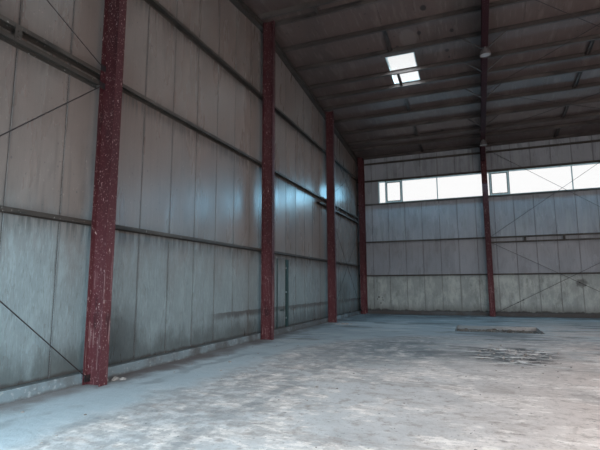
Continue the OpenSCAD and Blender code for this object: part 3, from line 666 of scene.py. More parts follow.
PURLIN_RUNS = (0.26, 1.55, 2.76, 4.06, 4.98, 5.88, 7.15, 8.44, 9.73, 10.55, 11.78)
SLOPE_TURN = -math.atan(ROOF_SLOPE)
GABLE_BEAM = 18.29
bolt_small = hex_bolt("bolt_small", 0.022)
plate = slab("cleat_plate", (-0.05, 0.0002, 0.001), (0.05, 0.006, 0.135))
fold_edges(plate, 1, 0.012, lambda middle: middle.z > 0.1)
cleat = join("cleat", [plate] + [set_at(bolt_small, (x, 0.006, z), (-FRONT, 0, 0))
                                 for x, z in ((-0.025, 0.045), (0.025, 0.10))])
cleats = [set_at(cleat, (FIRST_FRAME, run, RIDGE_FRAME - ROOF_SLOPE * run), (SLOPE_TURN, 0, 0))
          for run in PURLIN_RUNS]
line = join("cleat_line", cleats)
ends = [set_at(line, (x - FIRST_FRAME, 0, 0)) for x in (-GABLE_BEAM, GABLE_BEAM)]
in_a_row(line, FRAMES, (BAY, 0, 0))
back_cleats = join("purlin_cleats_back", [line] + ends)
front_cleats = mirrored(back_cleats, "purlin_cleats_front", 1)
finish_piece(back_cleats, "rail_paint", [purlin_primer])
finish_piece(front_cleats, "rail_paint", [purlin_primer])

batten_bolts = []
for k in (1, 2, 3):
    for z in (3.717, 3.852):
        batten_bolts.append(set_at(bolt_small, (FIRST_FRAME + 1.6 * k, 11.832, z), (FRONT, 0, 0)))
    for z in (4.962, 5.098):
        batten_bolts.append(set_at(bolt_small, (-18.202, 6.0 + 1.5 * k, z), (0, FRONT, 0)))
    for z in (5.017, 5.098):
        batten_bolts.append(set_at(bolt_small, (-18.202, -6.0 - 1.5 * k, z), (0, FRONT, 0)))
batten_bolts = join("batten_bolts", batten_bolts)
strut_bolts = join("strut_bolts", [batten_bolts, mirrored(batten_bolts, "far_strut_bolts", 0)])
finish_piece(strut_bolts, "rail_paint", [rail_primer])

side_a = slab("turnbuckle_side", (-0.12, -0.022, -0.007), (0.12, -0.013, 0.007))
fold_edges(side_a, 0, 0.003)
side_b = set_at(side_a, (0, 0, 0), (math.pi, 0, 0))
ends = []
for x in (-0.12, 0.12):
    nut = settle(made("nut", bpy.ops.mesh.primitive_cylinder_add, vertices=8, radius=0.025, depth=0.045,
                      location=(x, 0, 0), rotation=(0, FRONT, 0)))
    fold_edges(nut, 0, 0.002)
    ends.append(nut)
turnbuckle = join("turnbuckle", [side_a, side_b] + ends)
rods = ((-10.786, 11.633, 0.904, 0.521), (-8.282, 11.597, 1.677, -0.546))
turnbuckles = [set_at(turnbuckle, (x, y, z), (0, -math.atan(rise), 0)) for x, y, z, rise in rods]
finish_piece(all_corners("turnbuckles", turnbuckles), "rod_paint", [rod_steel])


# Wall panels of the long walls, above and below the window strips.
# Upright sandwich panels, two coated steel sheets on a foam core, with a dark seal in each joint and
# screws outside at each rail. Inside they are grey and streaked, whitish and stained below the low rail.
PANEL = 0.857
SILL = 5.96
HEAD = 7.17
UNCUT_TOP = 8.75
RIDGE_LINING = RIDGE_FRAME + 0.16 * LEAN
JOINT_WIDTH = 0.009
EDGE_FOLD = 0.007
SEAL_HALF = 0.007
SEAL_DEEP = 0.009
SIDE_JOINT = -17.6275
SIDE_SCREWS = (2.15, 3.91, 5.925, 7.21, 8.15)


def panel_sheet(name, colour, dirt):
    """Coated sheet with streaks down it, fine scratches and specks."""
    sheet = new_finish(name, colour, 0.3)
    patches(sheet, [v * 1.3 for v in colour], 0.5, (0.45, 0.62), 0.55, (1, 1, 0.6), 4.0)
    patches(sheet, dirt, 0.4, (0.48, 0.70), 1.6, (1, 1, 0.45), 8.0, 0.65)
    patches(sheet, dirt, 0.3, (0.50, 0.72), 14.0, (1, 1, 0.05), 6.0, 0.6)
    patches(sheet, [min(1.0, v * 1.5) for v in colour], 0.35, (0.56, 0.72), 45.0, (1, 1, 0.06), 4.0, 0.6)
    patches(sheet, [v * 0.35 for v in dirt], 0.65, (0.69, 0.73), 22.0, (1, 1, 0.7), 2.0)
    patches(sheet, [min(1.0, v * 2.2) for v in colour], 0.6, (0.70, 0.74), 33.0, (1, 1, 0.6), 2.0)
    relief(sheet, 0.0010, 22.0, (1, 1, 0.02), 2.0)
    worn_gloss(sheet, 0.16, 0.42, 2.0, (1, 1, 0.2), 6.0)
    return sheet


def joint_dirt(sheet, axis, first_joint, dirt, strength):
    """A soft band of dirt on both sides of each panel joint."""
    away = worked("PINGPONG", worked("ADD", place_along(sheet, axis), -first_joint), PANEL / 2)
    wobbly = ragged(away, grain(sheet, 6.0, (1, 1, 0.2), 6.0), 0.08)
    tint(sheet, dirt, mask(wobbly, 0.085, 0.045), strength)


side_sheet = panel_sheet("side_sheet", (0.200, 0.205, 0.225), (0.105, 0.098, 0.105))
height = place_along(side_sheet, "Z")
patches(side_sheet, (0.27, 0.29, 0.29), 0.35, (0.50, 0.62), 7.0, (1, 1, 0.08), 6.0, 0.6,
        within=mask(height, 3.2, 3.9))
whitish = mask(ragged(height, grain(side_sheet, 2.0, (1, 1, 0.5), 8.0, 0.65), 0.5), 2.45, 2.30)
tint(side_sheet, (0.26, 0.295, 0.29), whitish, 0.75)
patches(side_sheet, (0.43, 0.465, 0.455), 0.65, (0.42, 0.64), 2.2, (1, 1, 0.5), 10.0, 0.75, within=whitish)
patches(side_sheet, (0.12, 0.13, 0.125), 0.6, (0.52, 0.70), 4.2, (1, 1, 0.35), 10.0, 0.75, within=whitish)
foot = ragged(height, grain(side_sheet, 1.6, (1, 1, 0.3), 8.0, 0.65), 0.5)
tint(side_sheet, (0.10, 0.10, 0.095), mask(foot, 1.08, 0.62), 0.6)
tint(side_sheet, (0.045, 0.040, 0.040), mask(foot, 0.71, 0.64), 0.85)
for x, z, reach in ((-17.385, 1.05, 0.045), (-17.46, 0.95, 0.03), (-17.18, 0.90, 0.03),
                    (-17.29, 0.745, 0.035), (-17.22, 1.02, 0.022)):
    splat = spot(side_sheet, (x, WALL_IN, z), (reach, 0.6, reach), 0.3, 9.0)
    tint(side_sheet, (0.012, 0.012, 0.012), splat, 0.95)
smudge = spot(side_sheet, (-8.25, WALL_IN, 1.72), (0.30, 0.6, 0.26), 1.3, 5.0, 0.4)
tint(side_sheet, (0.07, 0.07, 0.07), smudge, 0.75)

joint_dirt(side_sheet, "X", SIDE_JOINT, (0.110, 0.098, 0.108), 0.35)

outer_sheet = new_finish("outer_sheet", (0.46, 0.485, 0.50), 0.45)
patches(outer_sheet, (0.34, 0.35, 0.35), 0.5, (0.48, 0.75), 0.7, (1, 1, 0.15), 6.0)
patches(outer_sheet, (0.30, 0.30, 0.28), 0.4, (0.58, 0.75), 6.0, (1, 1, 0.08), 4.0)
relief(outer_sheet, 0.0015, 22.0, (1, 1, 0.02), 2.0)
worn_gloss(outer_sheet, 0.35, 0.6, 2.0, (1, 1, 0.2))

joint_seal = new_finish("joint_seal", (0.012, 0.006, 0.006), 0.8)
relief(joint_seal, 0.001, 60.0)
greyed_seal = new_finish("greyed_seal", (0.050, 0.044, 0.050), 0.8)
patches(greyed_seal, (0.10, 0.095, 0.098), 0.6, (0.45, 0.6), 5.0, (1, 1, 0.3), 6.0)
low_seal = mask(place_along(greyed_seal, "Z"), 2.45, 2.30)
patches(greyed_seal, (0.21, 0.23, 0.225), 0.8, (0.38, 0.52), 2.0, (1, 1, 0.5), 6.0, 0.6, within=low_seal)
relief(greyed_seal, 0.001, 60.0)


def skin(piece, slot, test):
    """Gives the faces that pass a test another of the piece's finishes."""
    edit(piece, "FACE", test)
    piece.active_material_index = slot
    bpy.ops.object.material_slot_assign()
    done()


def on_wall(axis, along, through, height=0):
    """A point of a wall that runs along X (0) or Y (1)."""
    return (through, along, height) if axis else (along, through, height)


def panel_row(name, axis, start, end, first_joint, low, high, inner, outer, inside, sealing):
    """Panels side by side along X (0) or Y (1) between two planes, with their seals."""
    first = first_joint + math.floor((start - first_joint) / PANEL) * PANEL
    count = math.ceil((end - first) / PANEL)
    panel = slab(name, on_wall(axis, first + JOINT_WIDTH / 2, inner, low),
                 on_wall(axis, first + PANEL - JOINT_WIDTH / 2, outer, high))
    fold_edges(panel, 2, EDGE_FOLD)
    in_a_row(panel, count, on_wall(axis, PANEL, 0))
    seal = slab(name + "_seal", on_wall(axis, first - SEAL_HALF, inner + SEAL_DEEP, low),
                on_wall(axis, first + SEAL_HALF, outer - SEAL_DEEP, high))
    in_a_row(seal, count + 1, on_wall(axis, PANEL, 0))
    give(panel, inside, outer_sheet, sealing)
    skin(panel, 1, lambda mesh, part: abs(part.center[1 - axis]) > abs(inner + outer) / 2
         and abs(part.normal[2]) < 0.5)
    give(seal, sealing)
    row = join(name, [panel, seal])
    for end_at, way in ((start, -1), (end, 1)):
        cut_through(row, on_wall(axis, end_at, inner, low), on_wall(axis, way, 0), drop=True)
    return row


def screw_rows(name, screw, axis, first_joint, count, heights, outer, turn):
    """Two screws a panel at each rail, on the outer face."""
    pair = [set_at(screw, on_wall(axis, first_joint + along, outer, z), turn)
            for along in (0.12, 0.735) for z in heights]
    return in_a_row(join(name, pair), count, on_wall(axis, PANEL, 0))


below, above = (panel_row("back_panels_" + level, 0, -HALL_END, HALL_END, SIDE_JOINT, low, high, WALL_IN,
                          WALL_OUT, side_sheet, greyed_seal)
                for level, low, high in (("below", KERB_TOP, SILL), ("above", HEAD, UNCUT_TOP)))
cut_through(above, (0, 0, RIDGE_LINING), (0, ROOF_SLOPE, 1), drop=True)
for row, level, node in ((below, "below", "lower"), (above, "above", "upper")):
    finish_piece(mirrored(row, "front_panels_" + level, 1), "wall_panel", None, "front_wall_" + node)
    finish_piece(row, "wall_panel", None, "back_wall_" + node)
coat(side_sheet, "side_wall_piers")

screw = hex_bolt("screw", 0.010)
screws = screw_rows("back_wall_screws", screw, 0, SIDE_JOINT, 42, SIDE_SCREWS, WALL_OUT, (-FRONT, 0, 0))
finish_piece(mirrored(screws, "front_wall_screws", 1), "trim_sheet", [worn_steel])
finish_piece(screws, "trim_sheet", [worn_steel])


# Wall panels of the two end walls, cut to the roof line and round the side door.
# The same panels, glossier, so that they mirror the window strip; browner above the low rail, scratched
# below it, with a ragged tide mark of dirt near the floor. Painted bluish light makes them pale low down,
# painted shade darkens them under each rail, and a painted shadow line runs along their foot.
GABLE_JOINT = -0.53
DOOR_Y0 = 1.314
DOOR_Y1 = 2.183
DOOR_HEAD = 2.5
GABLE_UNCUT_TOP = 9.8
GABLE_SCREWS = (2.666, 5.167, 7.232)
gable_sheet = panel_sheet("gable_sheet", (0.162, 0.134, 0.123), (0.085, 0.071, 0.066))
surface(gable_sheet)["Specular Tint"].default_value = (0.35, 0.82, 1.0, 1)
surface(gable_sheet)["Specular IOR Level"].default_value = 0.75
height = place_along(gable_sheet, "Z")
along_wall = place_along(gable_sheet, "Y")
patches(gable_sheet, (0.155, 0.115, 0.102), 0.6, (0.35, 0.6), 1.1, (1, 1, 0.5), 6.0,
        within=mask(height, 2.4, 5.0))
# Painted bluish light: the wall is paler and bluer low down; scratches and marks lie within it.
pale = mask(ragged(height, grain(gable_sheet, 1.2, (1, 1, 0.5), 8.0, 0.6), 2.0), 4.2, 2.4)
tint(gable_sheet, (0.207, 0.264, 0.287), pale, 0.75)
patches(gable_sheet, (0.30, 0.37, 0.39), 0.5, (0.50, 0.62), 46.0, (1, 1, 0.12), 8.0, 0.7, within=pale)
patches(gable_sheet, (0.27, 0.33, 0.35), 0.45, (0.50, 0.64), 5.0, (1, 1, 0.35), 8.0, 0.65, within=pale)
patches(gable_sheet, (0.11, 0.115, 0.11), 0.5, (0.54, 0.64), 50.0, (1, 1, 0.14), 6.0, 0.65, within=pale)
# Painted shade under each rail, darkest just below it and broken into streaks.
shade_under_low_rail = both(mask(height, 2.25, 2.62), mask(grain(gable_sheet, 14.0, (1, 1, 0.1), 6.0), 0.42, 0.6))
tint(gable_sheet, (0.07, 0.062, 0.058), both(shade_under_low_rail, mask(height, 2.70, 2.63)), 0.7)
for rail in (5.13, 7.20):
    shade_below_rail = both(mask(height, rail - 0.5, rail), mask(height, rail + 0.1, rail))
    patches(gable_sheet, (0.07, 0.062, 0.058), 0.6, (0.42, 0.6), 14.0, (1, 1, 0.1), 6.0, within=shade_below_rail)
splash = ragged(height, grain(gable_sheet, 2.4, (1, 1, 0.5), 10.0, 0.7), 1.3)
tint(gable_sheet, (0.075, 0.078, 0.075), mask(splash, 1.62, 1.10), 0.75)
tide_top = ragged(height, grain(gable_sheet, 3.0, (1, 1, 0.3), 6.0, 0.6), 0.09)
tide_foot = ragged(height, grain(gable_sheet, 9.0, (1, 1, 0.3), 8.0, 0.7), 0.35)
tide = both(mask(tide_top, 1.075, 1.055), mask(tide_foot, 1.00, 1.12))
tint(gable_sheet, (0.060, 0.045, 0.040), both(tide, mask(along_wall, -2.8, -1.6)), 0.7)
# A painted shadow line along the foot of the wall, just above the kerb.
shadow_line_at_foot = mask(ragged(height, grain(gable_sheet, 5.0, (1, 1, 0.3), 8.0, 0.65), 0.12), 0.50, 0.45)
tint(gable_sheet, (0.055, 0.042, 0.038), shadow_line_at_foot, 0.75)
far_smudge = spot(gable_sheet, (-HALL_END, 8.6, 1.35), (1, 1.7, 0.9), 0.9, 1.6, 0.3)
tint(gable_sheet, (0.055, 0.052, 0.05), far_smudge, 0.7)
near_smudge = spot(gable_sheet, (-HALL_END, -5.3, 0.8), (1, 0.9, 0.8), 0.9, 2.0, 0.1)
tint(gable_sheet, (0.055, 0.052, 0.05), near_smudge, 0.75)

joint_dirt(gable_sheet, "Y", GABLE_JOINT, (0.070, 0.056, 0.052), 0.6)


def gable_row(name, start, end, low):
    """Panels of the end wall over one stretch, cut to both roof slopes."""
    row = panel_row(name, 1, start, end, GABLE_JOINT, low, GABLE_UNCUT_TOP, -GABLE_OUT, -HALL_END,
                    gable_sheet, joint_seal)
    for way in (-1, 1):
        cut_through(row, (0, 0, RIDGE_LINING), (0, way * ROOF_SLOPE, 1), drop=True)
    return row


for part, start, end, low in (("back", DOOR_Y1, WALL_OUT, KERB_TOP),
                              ("front", -WALL_OUT, DOOR_Y0, KERB_TOP),
                              ("over_door", DOOR_Y0, DOOR_Y1, DOOR_HEAD)):
    row = gable_row("gable_panels_" + part, start, end, low)
    finish_piece(row, "wall_panel", None, "left_gable_" + part)
whole_row = gable_row("far_row", -WALL_OUT, WALL_OUT, KERB_TOP)
far_gable = mirrored(whole_row, "far_gable_panels", 0)
bpy.data.objects.remove(whole_row)
finish_piece(far_gable, "wall_panel", None, "right_gable_wall")

screws = screw_rows("left_gable_screws", screw, 1, GABLE_JOINT - 13 * PANEL, 27, GABLE_SCREWS, -GABLE_OUT,
                    (0, -FRONT, 0))
finish_piece(mirrored(screws, "right_gable_screws", 0), "trim_sheet", [worn_steel])
finish_piece(screws, "trim_sheet", [worn_steel])

catch = slab("wall_catch", (-HALL_END, 2.62, 0.852), (-HALL_END + 0.012, 2.80, 0.884))
fold_edges(catch, 0, 0.012)
catch_bolts = [set_at(bolt_small, (-HALL_END + 0.012, y, 0.868), (0, FRONT, 0)) for y in (2.65, 2.77)]
finish_piece(join("wall_catch", [catch] + catch_bolts), "door_green", [worn_steel])


# Roof panels, one metre wide, ribbed on top and nearly flat underneath.
# Coated steel sheets on a foam core, screwed to the purlins; the lining is a dark brownish grey with
# round damp marks, the outside a plain grey. Each slope leaves two holes for its skylights.
ROOF_T = 0.15
ROOF_END = 12.42
ROOF_REACH = 18.59
SHEETS_START = -18.9
UNCUT_RUN = (-0.3, 12.9)
RIB_H = 0.034
SKY_X = (HALL_END - 3.23 - 0.98, HALL_END - 3.23)
SKY_Y = (3.15, 5.20)
roof_lining = new_finish("roof_lining", (0.095, 0.070, 0.066), 0.5)
patches(roof_lining, (0.055, 0.047, 0.046), 0.6, (0.45, 0.72), 0.8, (1, 0.3, 1), 6.0)
patches(roof_lining, (0.155, 0.125, 0.118), 0.5, (0.52, 0.70), 4.0, (1, 0.25, 1), 6.0)
patches(roof_lining, (0.16, 0.14, 0.135), 0.4, (0.55, 0.70), 17.0, (1, 0.04, 1), 6.0)
patches(roof_lining, (0.03, 0.027, 0.027), 0.6, (0.72, 0.78), 7.0, detail=1.0)
for x, y, reach in ((-13.64, 1.1, 0.09), (-13.89, 2.2, 0.07), (-12.92, 2.4, 0.07), (-14.65, 2.7, 0.06),
                    (-13.12, 3.4, 0.06), (-13.08, 3.8, 0.04), (-13.73, 9.6, 0.08)):
    damp = spot(roof_lining, (x, y, 9.4), (reach, reach * 1.5, 3), 0.7, 9.0)
    tint(roof_lining, (0.022, 0.020, 0.020), damp, 0.85)
pale_spot = spot(roof_lining, (-14.25, 2.36, 9.4), (0.3, 0.5, 3), 0.2, 3.0)
tint(roof_lining, (0.15, 0.13, 0.125), pale_spot, 0.5)
relief(roof_lining, 0.002, 16.0, (1, 0.03, 1), 2.0)
worn_gloss(roof_lining, 0.36, 0.6, 2.0)

roof_sheet = new_finish("roof_sheet", (0.34, 0.35, 0.355), 0.5)
patches(roof_sheet, (0.24, 0.235, 0.225), 0.6, (0.48, 0.72), 0.9, (1, 0.3, 1), 6.0)
patches(roof_sheet, (0.18, 0.17, 0.16), 0.5, (0.56, 0.74), 9.0, (1, 0.08, 1), 6.0)
relief(roof_sheet, 0.0012, 18.0, (1, 0.05, 1))
worn_gloss(roof_sheet, 0.38, 0.62, 2.0)

strip = slab("roof_strips", (0.002, UNCUT_RUN[0], 0), (0.998, UNCUT_RUN[1], ROOF_T - RIB_H))
fold_edges(strip, 1, 0.004)
ribs = slab("roof_ribs", (0.09, UNCUT_RUN[0], ROOF_T - RIB_H - 0.002),
            (0.16, UNCUT_RUN[1], ROOF_T - 0.0005))
edit(ribs, "FACE", lambda mesh, part: part.normal.z > 0.9)
bpy.ops.transform.resize(value=(0.5, 1, 1), center_override=(0.125, 6.3, ROOF_T))
done()
in_a_row(ribs, 4, (0.25, 0, 0))
lap = slab("roof_laps", (-0.006, UNCUT_RUN[0], 0.008), (0.006, UNCUT_RUN[1], ROOF_T - RIB_H - 0.008))
give(strip, roof_lining, joint_seal, roof_sheet)
skin(strip, 2, lambda mesh, part: part.normal.z > 0.9)
give(ribs, roof_sheet)
give(lap, joint_seal)
slope_row = join("slope_row", [strip, ribs, lap])
in_a_row(slope_row, 38, (1, 0, 0))
slope_row.rotation_euler.x = SLOPE_TURN
slope_row.location = (SHEETS_START, 0, RIDGE_LINING)
settle(slope_row)

x_cuts = (-ROOF_REACH, -SKY_X[1], -SKY_X[0], SKY_X[0], SKY_X[1], ROOF_REACH)
fields = []
for x0, x1 in zip(x_cuts, x_cuts[1:]):
    beside_skylight = ((0, SKY_Y[0]), (SKY_Y[1], ROOF_END))
    spans = beside_skylight if SKY_X in ((x0, x1), (-x1, -x0)) else ((0, ROOF_END),)
    fields += [(x0, x1, y0, y1) for y0, y1 in spans]
parts = []
for x0, x1, y0, y1 in fields:
    field = copy_of(slope_row, "field")
    for point, normal in (((x0, 0, 0), (-1, 0, 0)), ((x1, 0, 0), (1, 0, 0)),
                          ((0, y0, 0), (0, -1, 0)), ((0, y1, 0), (0, 1, 0))):
        cut_through(field, point, normal, drop=True)
    parts.append(field)
bpy.data.objects.remove(slope_row)
back_slope = join("back_roof_panels", parts)
front_slope = mirrored(back_slope, "front_roof_panels", 1)
finish_piece(back_slope, "roof_panel", None, "roof_back")
finish_piece(front_slope, "roof_panel", None, "roof_front")

roof_screw = hex_bolt("roof_screw", 0.012)
column = []
for run in PURLIN_RUNS[1:]:
    top = RIDGE_LINING - ROOF_SLOPE * run + ROOF_T * LEAN
    column.append(set_at(roof_screw, (SHEETS_START + 0.125, run, top), (SLOPE_TURN, 0, 0)))
column = in_a_row(join("roof_screws", column), 75, (0.5, 0, 0))
screws_back = []
for x0, x1, y0, y1 in fields:
    field = copy_of(column, "screw_field")
    remove_faces(field, lambda mesh, part: not (x0 + 0.02 < part.center.x < x1 - 0.02
                                                and y0 + 0.02 < part.center.y < y1 - 0.3))
    screws_back.append(field)
bpy.data.objects.remove(column)
screws_back = join("back_roof_screws", screws_back)
finish_piece(mirrored(screws_back, "front_roof_screws", 1), "trim_sheet", [worn_steel])
finish_piece(screws_back, "trim_sheet", [worn_steel])


# Ridge cap and the trims of eaves and verges.
# Thin sheet folded over the panels' edges, the colour of the walls, streaked by rain below its folds.
edge_sheet = new_finish("edge_sheet", (0.30, 0.315, 0.325), 0.45)
patches(edge_sheet, (0.17, 0.17, 0.17), 0.5, (0.5, 0.75), 3.0, (1, 1, 3), 6.0)
patches(edge_sheet, (0.42, 0.43, 0.43), 0.4, (0.5, 0.7), 1.1, detail=6.0)
relief(edge_sheet, 0.001, 12.0, (0.1, 1, 1))
worn_gloss(edge_sheet, 0.35, 0.6, 3.0)
coat(edge_sheet, "ridge_cap", "eave_trims", "verge_trims")


# Skylights and window strips.
# White plastic frames set in the panels, opal sheets in the roof and clear glass in the walls, with
# small top-hung sashes on a dark rubber seal, a handle at the foot of each.
# The white frames are coloured a darker cyan: painted shade with the windows' painted bluish glare.
white_frame_shade_and_glare = new_finish("white_frame_shade_and_glare", (0.48, 0.69, 0.76), 0.35)
patches(white_frame_shade_and_glare, (0.34, 0.37, 0.38), 0.45, (0.52, 0.72), 5.0, detail=6.0)
patches(white_frame_shade_and_glare, (0.26, 0.26, 0.25), 0.5, (0.64, 0.72), 26.0, (1, 1, 0.3), 3.0)
relief(white_frame_shade_and_glare, 0.0005, 80.0)
coat(white_frame_shade_and_glare, "skylight_frames", "window_frames", "window_sashes")

clear_glass = new_finish("clear_glass", (0.80, 0.93, 0.97), 0.06)
surface(clear_glass)["Alpha"].default_value = 0.02
patches(clear_glass, (0.62, 0.80, 0.86), 0.5, (0.5, 0.8), 1.5, (1, 1, 0.3))
coat(clear_glass, "window_glass")

opal_sheet = new_finish("opal_sheet", (0.88, 0.95, 0.97), 0.35)
surface(opal_sheet)["Alpha"].default_value = 0.08
patches(opal_sheet, (0.70, 0.80, 0.82), 0.6, (0.5, 0.8), 2.0, (1, 0.2, 1))
coat(opal_sheet, "skylight_panes")

SASH_W = 0.86
SASH_Z = (5.985, 7.145)
SASH_FACE = 11.985
SASH_STARTS = (-16.875, -11.765, -5.765)
seal_rubber = new_finish("seal_rubber", (0.014, 0.030, 0.034), 0.7)
relief(seal_rubber, 0.001, 60.0)


def window_ring(name, out, near, far, width):
    """A flat rectangular ring at the edge of a sash, so far outside it or, below zero, inside."""
    ring = slab(name, (-SASH_W / 2 - out, SASH_FACE + near, SASH_Z[0] - out),
                (SASH_W / 2 + out, SASH_FACE + far, SASH_Z[1] + out))
    edit(ring, "FACE", lambda mesh, part: abs(part.normal.y) > 0.9)
    bpy.ops.mesh.inset(thickness=width)
    bpy.ops.mesh.bridge_edge_loops()
    done()
    return ring


seal_ring = window_ring("sash_seal", 0.018, 0.002, 0.012, 0.030)
bead = window_ring("glazing_bead", -0.07, -0.006, 0.020, 0.028)
arm = slab("handle_arm", (-0.012, SASH_FACE - 0.035, SASH_Z[0] + 0.02),
           (0.012, SASH_FACE - 0.022, SASH_Z[0] + 0.15))
fold_edges(arm, 2, 0.005)
foot = slab("handle_foot", (-0.014, SASH_FACE - 0.024, SASH_Z[0] + 0.015),
            (0.014, SASH_FACE, SASH_Z[0] + 0.05))
fold_edges(foot, 1, 0.004)
seals = []
handles = []
for x in SASH_STARTS:
    middle = x + SASH_W / 2
    seals += [set_at(seal_ring, (middle, 0, 0)), set_at(bead, (middle, 0, 0))]
    handles += [set_at(arm, (middle, 0, 0)), set_at(foot, (middle, 0, 0))]
finish_piece(all_corners("sash_seals", seals), "window_white", [seal_rubber])
finish_piece(all_corners("sash_handles", handles), "window_white", [white_frame_shade_and_glare])


# Side door in the end wall.
# Steel jambs in dark green paint, a sheet-clad leaf the colour of the wall between them, three
# lift-off hinges screwed on and a flat bolt in two guides.
door_paint = new_finish("door_paint", (0.022, 0.052, 0.054), 0.5)
patches(door_paint, (0.075, 0.095, 0.092), 0.5, (0.52, 0.75), 4.0, (1, 1, 0.3))
patches(door_paint, (0.20, 0.22, 0.21), 0.6, (0.66, 0.71), 30.0, (1, 1, 0.4), 3.0)
relief(door_paint, 0.0008, 90.0)
worn_gloss(door_paint, 0.35, 0.6, 6.0)
coat(door_paint, "door_frame", "door_bolt")
coat(gable_sheet, "door_leaf")

HINGES = (0.62, 1.435, 2.2)
hinge_screw = hex_bolt("hinge_screw", 0.008)
on_jamb = []
on_leaf = []
for z in HINGES:
    for up in (-0.03, 0.03):
        on_jamb.append(set_at(hinge_screw, (-18.333, 2.030, z + up), (0, FRONT, 0)))
        on_leaf.append(set_at(hinge_screw, (-18.366, 1.966, z + up), (0, FRONT, 0)))
finish_piece(join("jamb_screws", on_jamb), "door_green", [worn_steel])
finish_piece(join("leaf_screws", on_leaf), "door_green", [worn_steel], body="door")


# Round lamps under the rafters.
# Spun aluminium bells on short necks, dusty white, each with a pale dish closing the mouth and a
# ballast box's ears above; bell and dish are coloured dark grey as painted shade.
BELL = ((0.034, 0.280), (0.036, 0.225), (0.050, 0.220), (0.088, 0.200), (0.122, 0.155), (0.144, 0.088),
        (0.152, 0.030), (0.155, 0.027), (0.155, 0.0), (0.149, 0.0), (0.149, 0.022), (0.090, 0.014),
        (0.0001, 0.010))
LAMP_PLACES = ((2.6, 8.586), (9.725, 7.874))
# Bell and dish are white; they are coloured dark grey as painted shade.
lamp_white_in_shade = new_finish("lamp_white_in_shade", (0.095, 0.085, 0.088), 0.4)
patches(lamp_white_in_shade, (0.050, 0.042, 0.043), 0.6, (0.5, 0.7), 9.0, detail=6.0)
relief(lamp_white_in_shade, 0.0008, 60.0)
worn_gloss(lamp_white_in_shade, 0.25, 0.5, 12.0)
lamp_dish_in_shade = new_finish("lamp_dish_in_shade", (0.25, 0.235, 0.24), 0.35)
patches(lamp_dish_in_shade, (0.15, 0.135, 0.14), 0.5, (0.5, 0.7), 14.0, detail=6.0)

bell = settle(made("bell", bpy.ops.mesh.primitive_circle_add, vertices=32, radius=BELL[0][0],
                   location=(0, 0, BELL[0][1]), fill_type="NGON"))
edit(bell, "EDGE", every)
for (wide, high), (next_wide, next_high) in zip(BELL, BELL[1:]):
    grow = next_wide / wide
    bpy.ops.mesh.extrude_edges_move(TRANSFORM_OT_translate={"value": (0, 0, next_high - high)})
    bpy.ops.transform.resize(value=(grow, grow, 1), center_override=(0, 0, next_high))
bpy.ops.mesh.select_all(action="SELECT")
bpy.ops.mesh.remove_doubles(threshold=0.0005)
bpy.ops.mesh.normals_make_consistent(inside=False)
done()
pick(bell)
bpy.ops.object.shade_smooth_by_angle(angle=math.radians(40))
ears = []
for x in (-0.072, 0.072):
    ear = slab("lamp_ear", (x - 0.012, -0.028, 0.205), (x + 0.012, 0.028, 0.262))
    fold_edges(ear, 1, 0.006)
    ears.append(ear)
lamp = join("high_bay", [bell] + ears)
hung = [set_at(lamp, (FIRST_FRAME, side * y, z)) for y, z in LAMP_PLACES for side in (1, -1)]
lamps = in_a_row(join("lamps", hung), FRAMES, (BAY, 0, 0))
give(lamps, lamp_white_in_shade, lamp_dish_in_shade)
skin(lamps, 1, lambda mesh, part: part.normal.z < -0.6)
finish_piece(lamps, "lamp_shell", None, "high_bay_lamps")

for pattern in (bolt, bolt_small, cleat, turnbuckle, screw, roof_screw, hinge_screw, lamp, seal_ring, bead,
                arm, foot):
    bpy.data.objects.remove(pattern)


# Ground round the hall, and the light.
# A plain pale floor and a white sky; soft lamps inside the hall, which the camera doesn't see, stand
# for the daylight of an open doorway and of the windows.
ground = made("ground", bpy.ops.mesh.primitive_plane_add, size=3000, location=(0, 0, -0.002))
give(ground, new_finish("pale_ground", (0.78, 0.78, 0.78), 0.9))

sky = bpy.data.worlds.new("sky")
bpy.context.scene.world = sky
sky.use_nodes = True
tree = sky.node_tree
ray = tree.nodes.new("ShaderNodeLightPath").outputs
shiny = worked("MAXIMUM", ray["Is Glossy Ray"], ray["Is Transmission Ray"])
choice = wire(worked("MAXIMUM", ray["Is Camera Ray"], shiny), "ShaderNodeMixShader", "Fac")
plain = tree.nodes["Background"]
white = tree.nodes.new("ShaderNodeBackground")
for glow, colour, strength, place in ((plain, (0.93, 0.97, 1, 1), 0.75, 1), (white, (1, 1, 1, 1), 1.0, 2)):
    glow.inputs["Color"].default_value = colour
    glow.inputs["Strength"].default_value = strength
    tree.links.new(glow.outputs[0], choice.inputs[place])
tree.links.new(choice.outputs[0], tree.nodes["World Output"].inputs["Surface"])


def soft_lamp(name, place, target, size, watts, colour):
    """A soft rectangular lamp that lights but isn't seen."""
    light = bpy.data.lights.new(name, "AREA")
    light.shape = "RECTANGLE"
    light.size, light.size_y = size
    light.energy = watts
    light.color = colour
    lamp = bpy.data.objects.new(name, light)
    bpy.context.collection.objects.link(lamp)
    lamp.location = place
    lamp.rotation_euler = (Vector(target) - Vector(place)).to_track_quat("-Z", "Y").to_euler()
    lamp.visible_camera = False
    lamp.visible_glossy = False
    return lamp


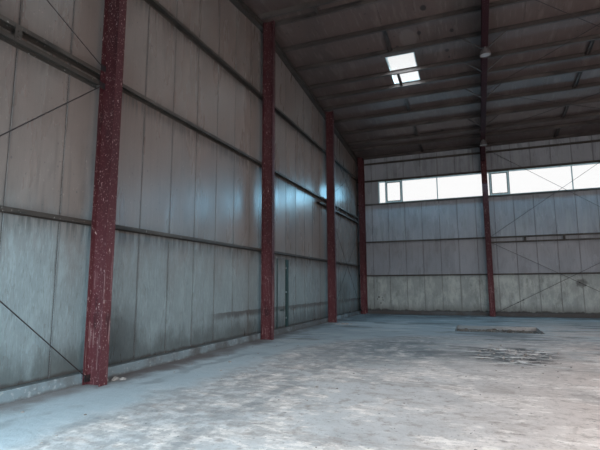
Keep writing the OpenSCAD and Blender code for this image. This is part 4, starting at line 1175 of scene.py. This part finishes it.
soft_lamp("doorway_glow", (-7.5, -11.3, 2.6), (-7.5, 0, -1.5), (6.0, 3.6), 950, (1.0, 0.95, 0.91))
soft_lamp("doorway_glow_left", (-15.6, -11.3, 2.0), (-15.6, -4, -0.4), (3.6, 2.9), 460, (0.74, 0.92, 1.0))
soft_lamp("doorway_glow_right", (-1.0, -11.3, 2.6), (-1.0, 0, -1.5), (6.0, 3.6), 560, (1.0, 0.86, 0.78))
soft_lamp("hall_glow", (-9.0, 0, 7.2), (-9.0, 0, 0), (17.0, 17.0), 370, (0.95, 0.97, 1.0))
soft_lamp("far_hall_glow", (9.0, 0, 7.2), (9.0, 0, 0), (17.0, 17.0), 330, (1.0, 0.96, 0.93))
glare = soft_lamp("window_glow_back", (-9.0, 11.3, 6.55), (-9.0, 6.0, 0.0), (17.0, 1.0), 330,
                  (0.30, 0.72, 1.0))
glare.visible_glossy = True
SKY_GLOW = (14.65, 4.17, RIDGE_LINING - ROOF_SLOPE * 4.17 + 0.06)
for side in (-1, 1):
    for end in (-1, 1):
        x, y, z = end * SKY_GLOW[0], side * SKY_GLOW[1], SKY_GLOW[2]
        soft_lamp("skylight_glow", (x, y, z), (x, y, 0), (0.85, 1.85), 90, (0.85, 0.95, 1.0))

sun = bpy.data.lights.new("soft_sun", "SUN")
sun.energy = 1.2
sun.angle = math.radians(35)
sun_lamp = bpy.data.objects.new("soft_sun", sun)
sun_lamp.rotation_euler = (math.radians(42), 0, math.radians(-35))
bpy.context.collection.objects.link(sun_lamp)

YAW, PITCH, ROLL = (math.radians(v) for v in (21.434, 7.708, -0.253))
forward = Vector((-math.sin(YAW) * math.cos(PITCH), math.cos(YAW) * math.cos(PITCH), math.sin(PITCH)))
level = Vector((math.cos(YAW), math.sin(YAW), 0))
above = level.cross(forward)
right = level * math.cos(ROLL) + above * math.sin(ROLL)
top = above * math.cos(ROLL) - level * math.sin(ROLL)
camera = bpy.data.objects.new("camera", bpy.data.cameras.new("camera"))
bpy.context.collection.objects.link(camera)
camera.data.lens = 26.749
camera.data.sensor_width = 36
camera.data.clip_start = 0.05
camera.data.clip_end = 3000
place = Matrix((right, top, -forward)).transposed().to_4x4()
place.translation = Vector((-12.613, -11.353, 1.671))
camera.matrix_world = place
bpy.context.scene.camera = camera
bpy.context.scene.view_settings.view_transform = "Standard"
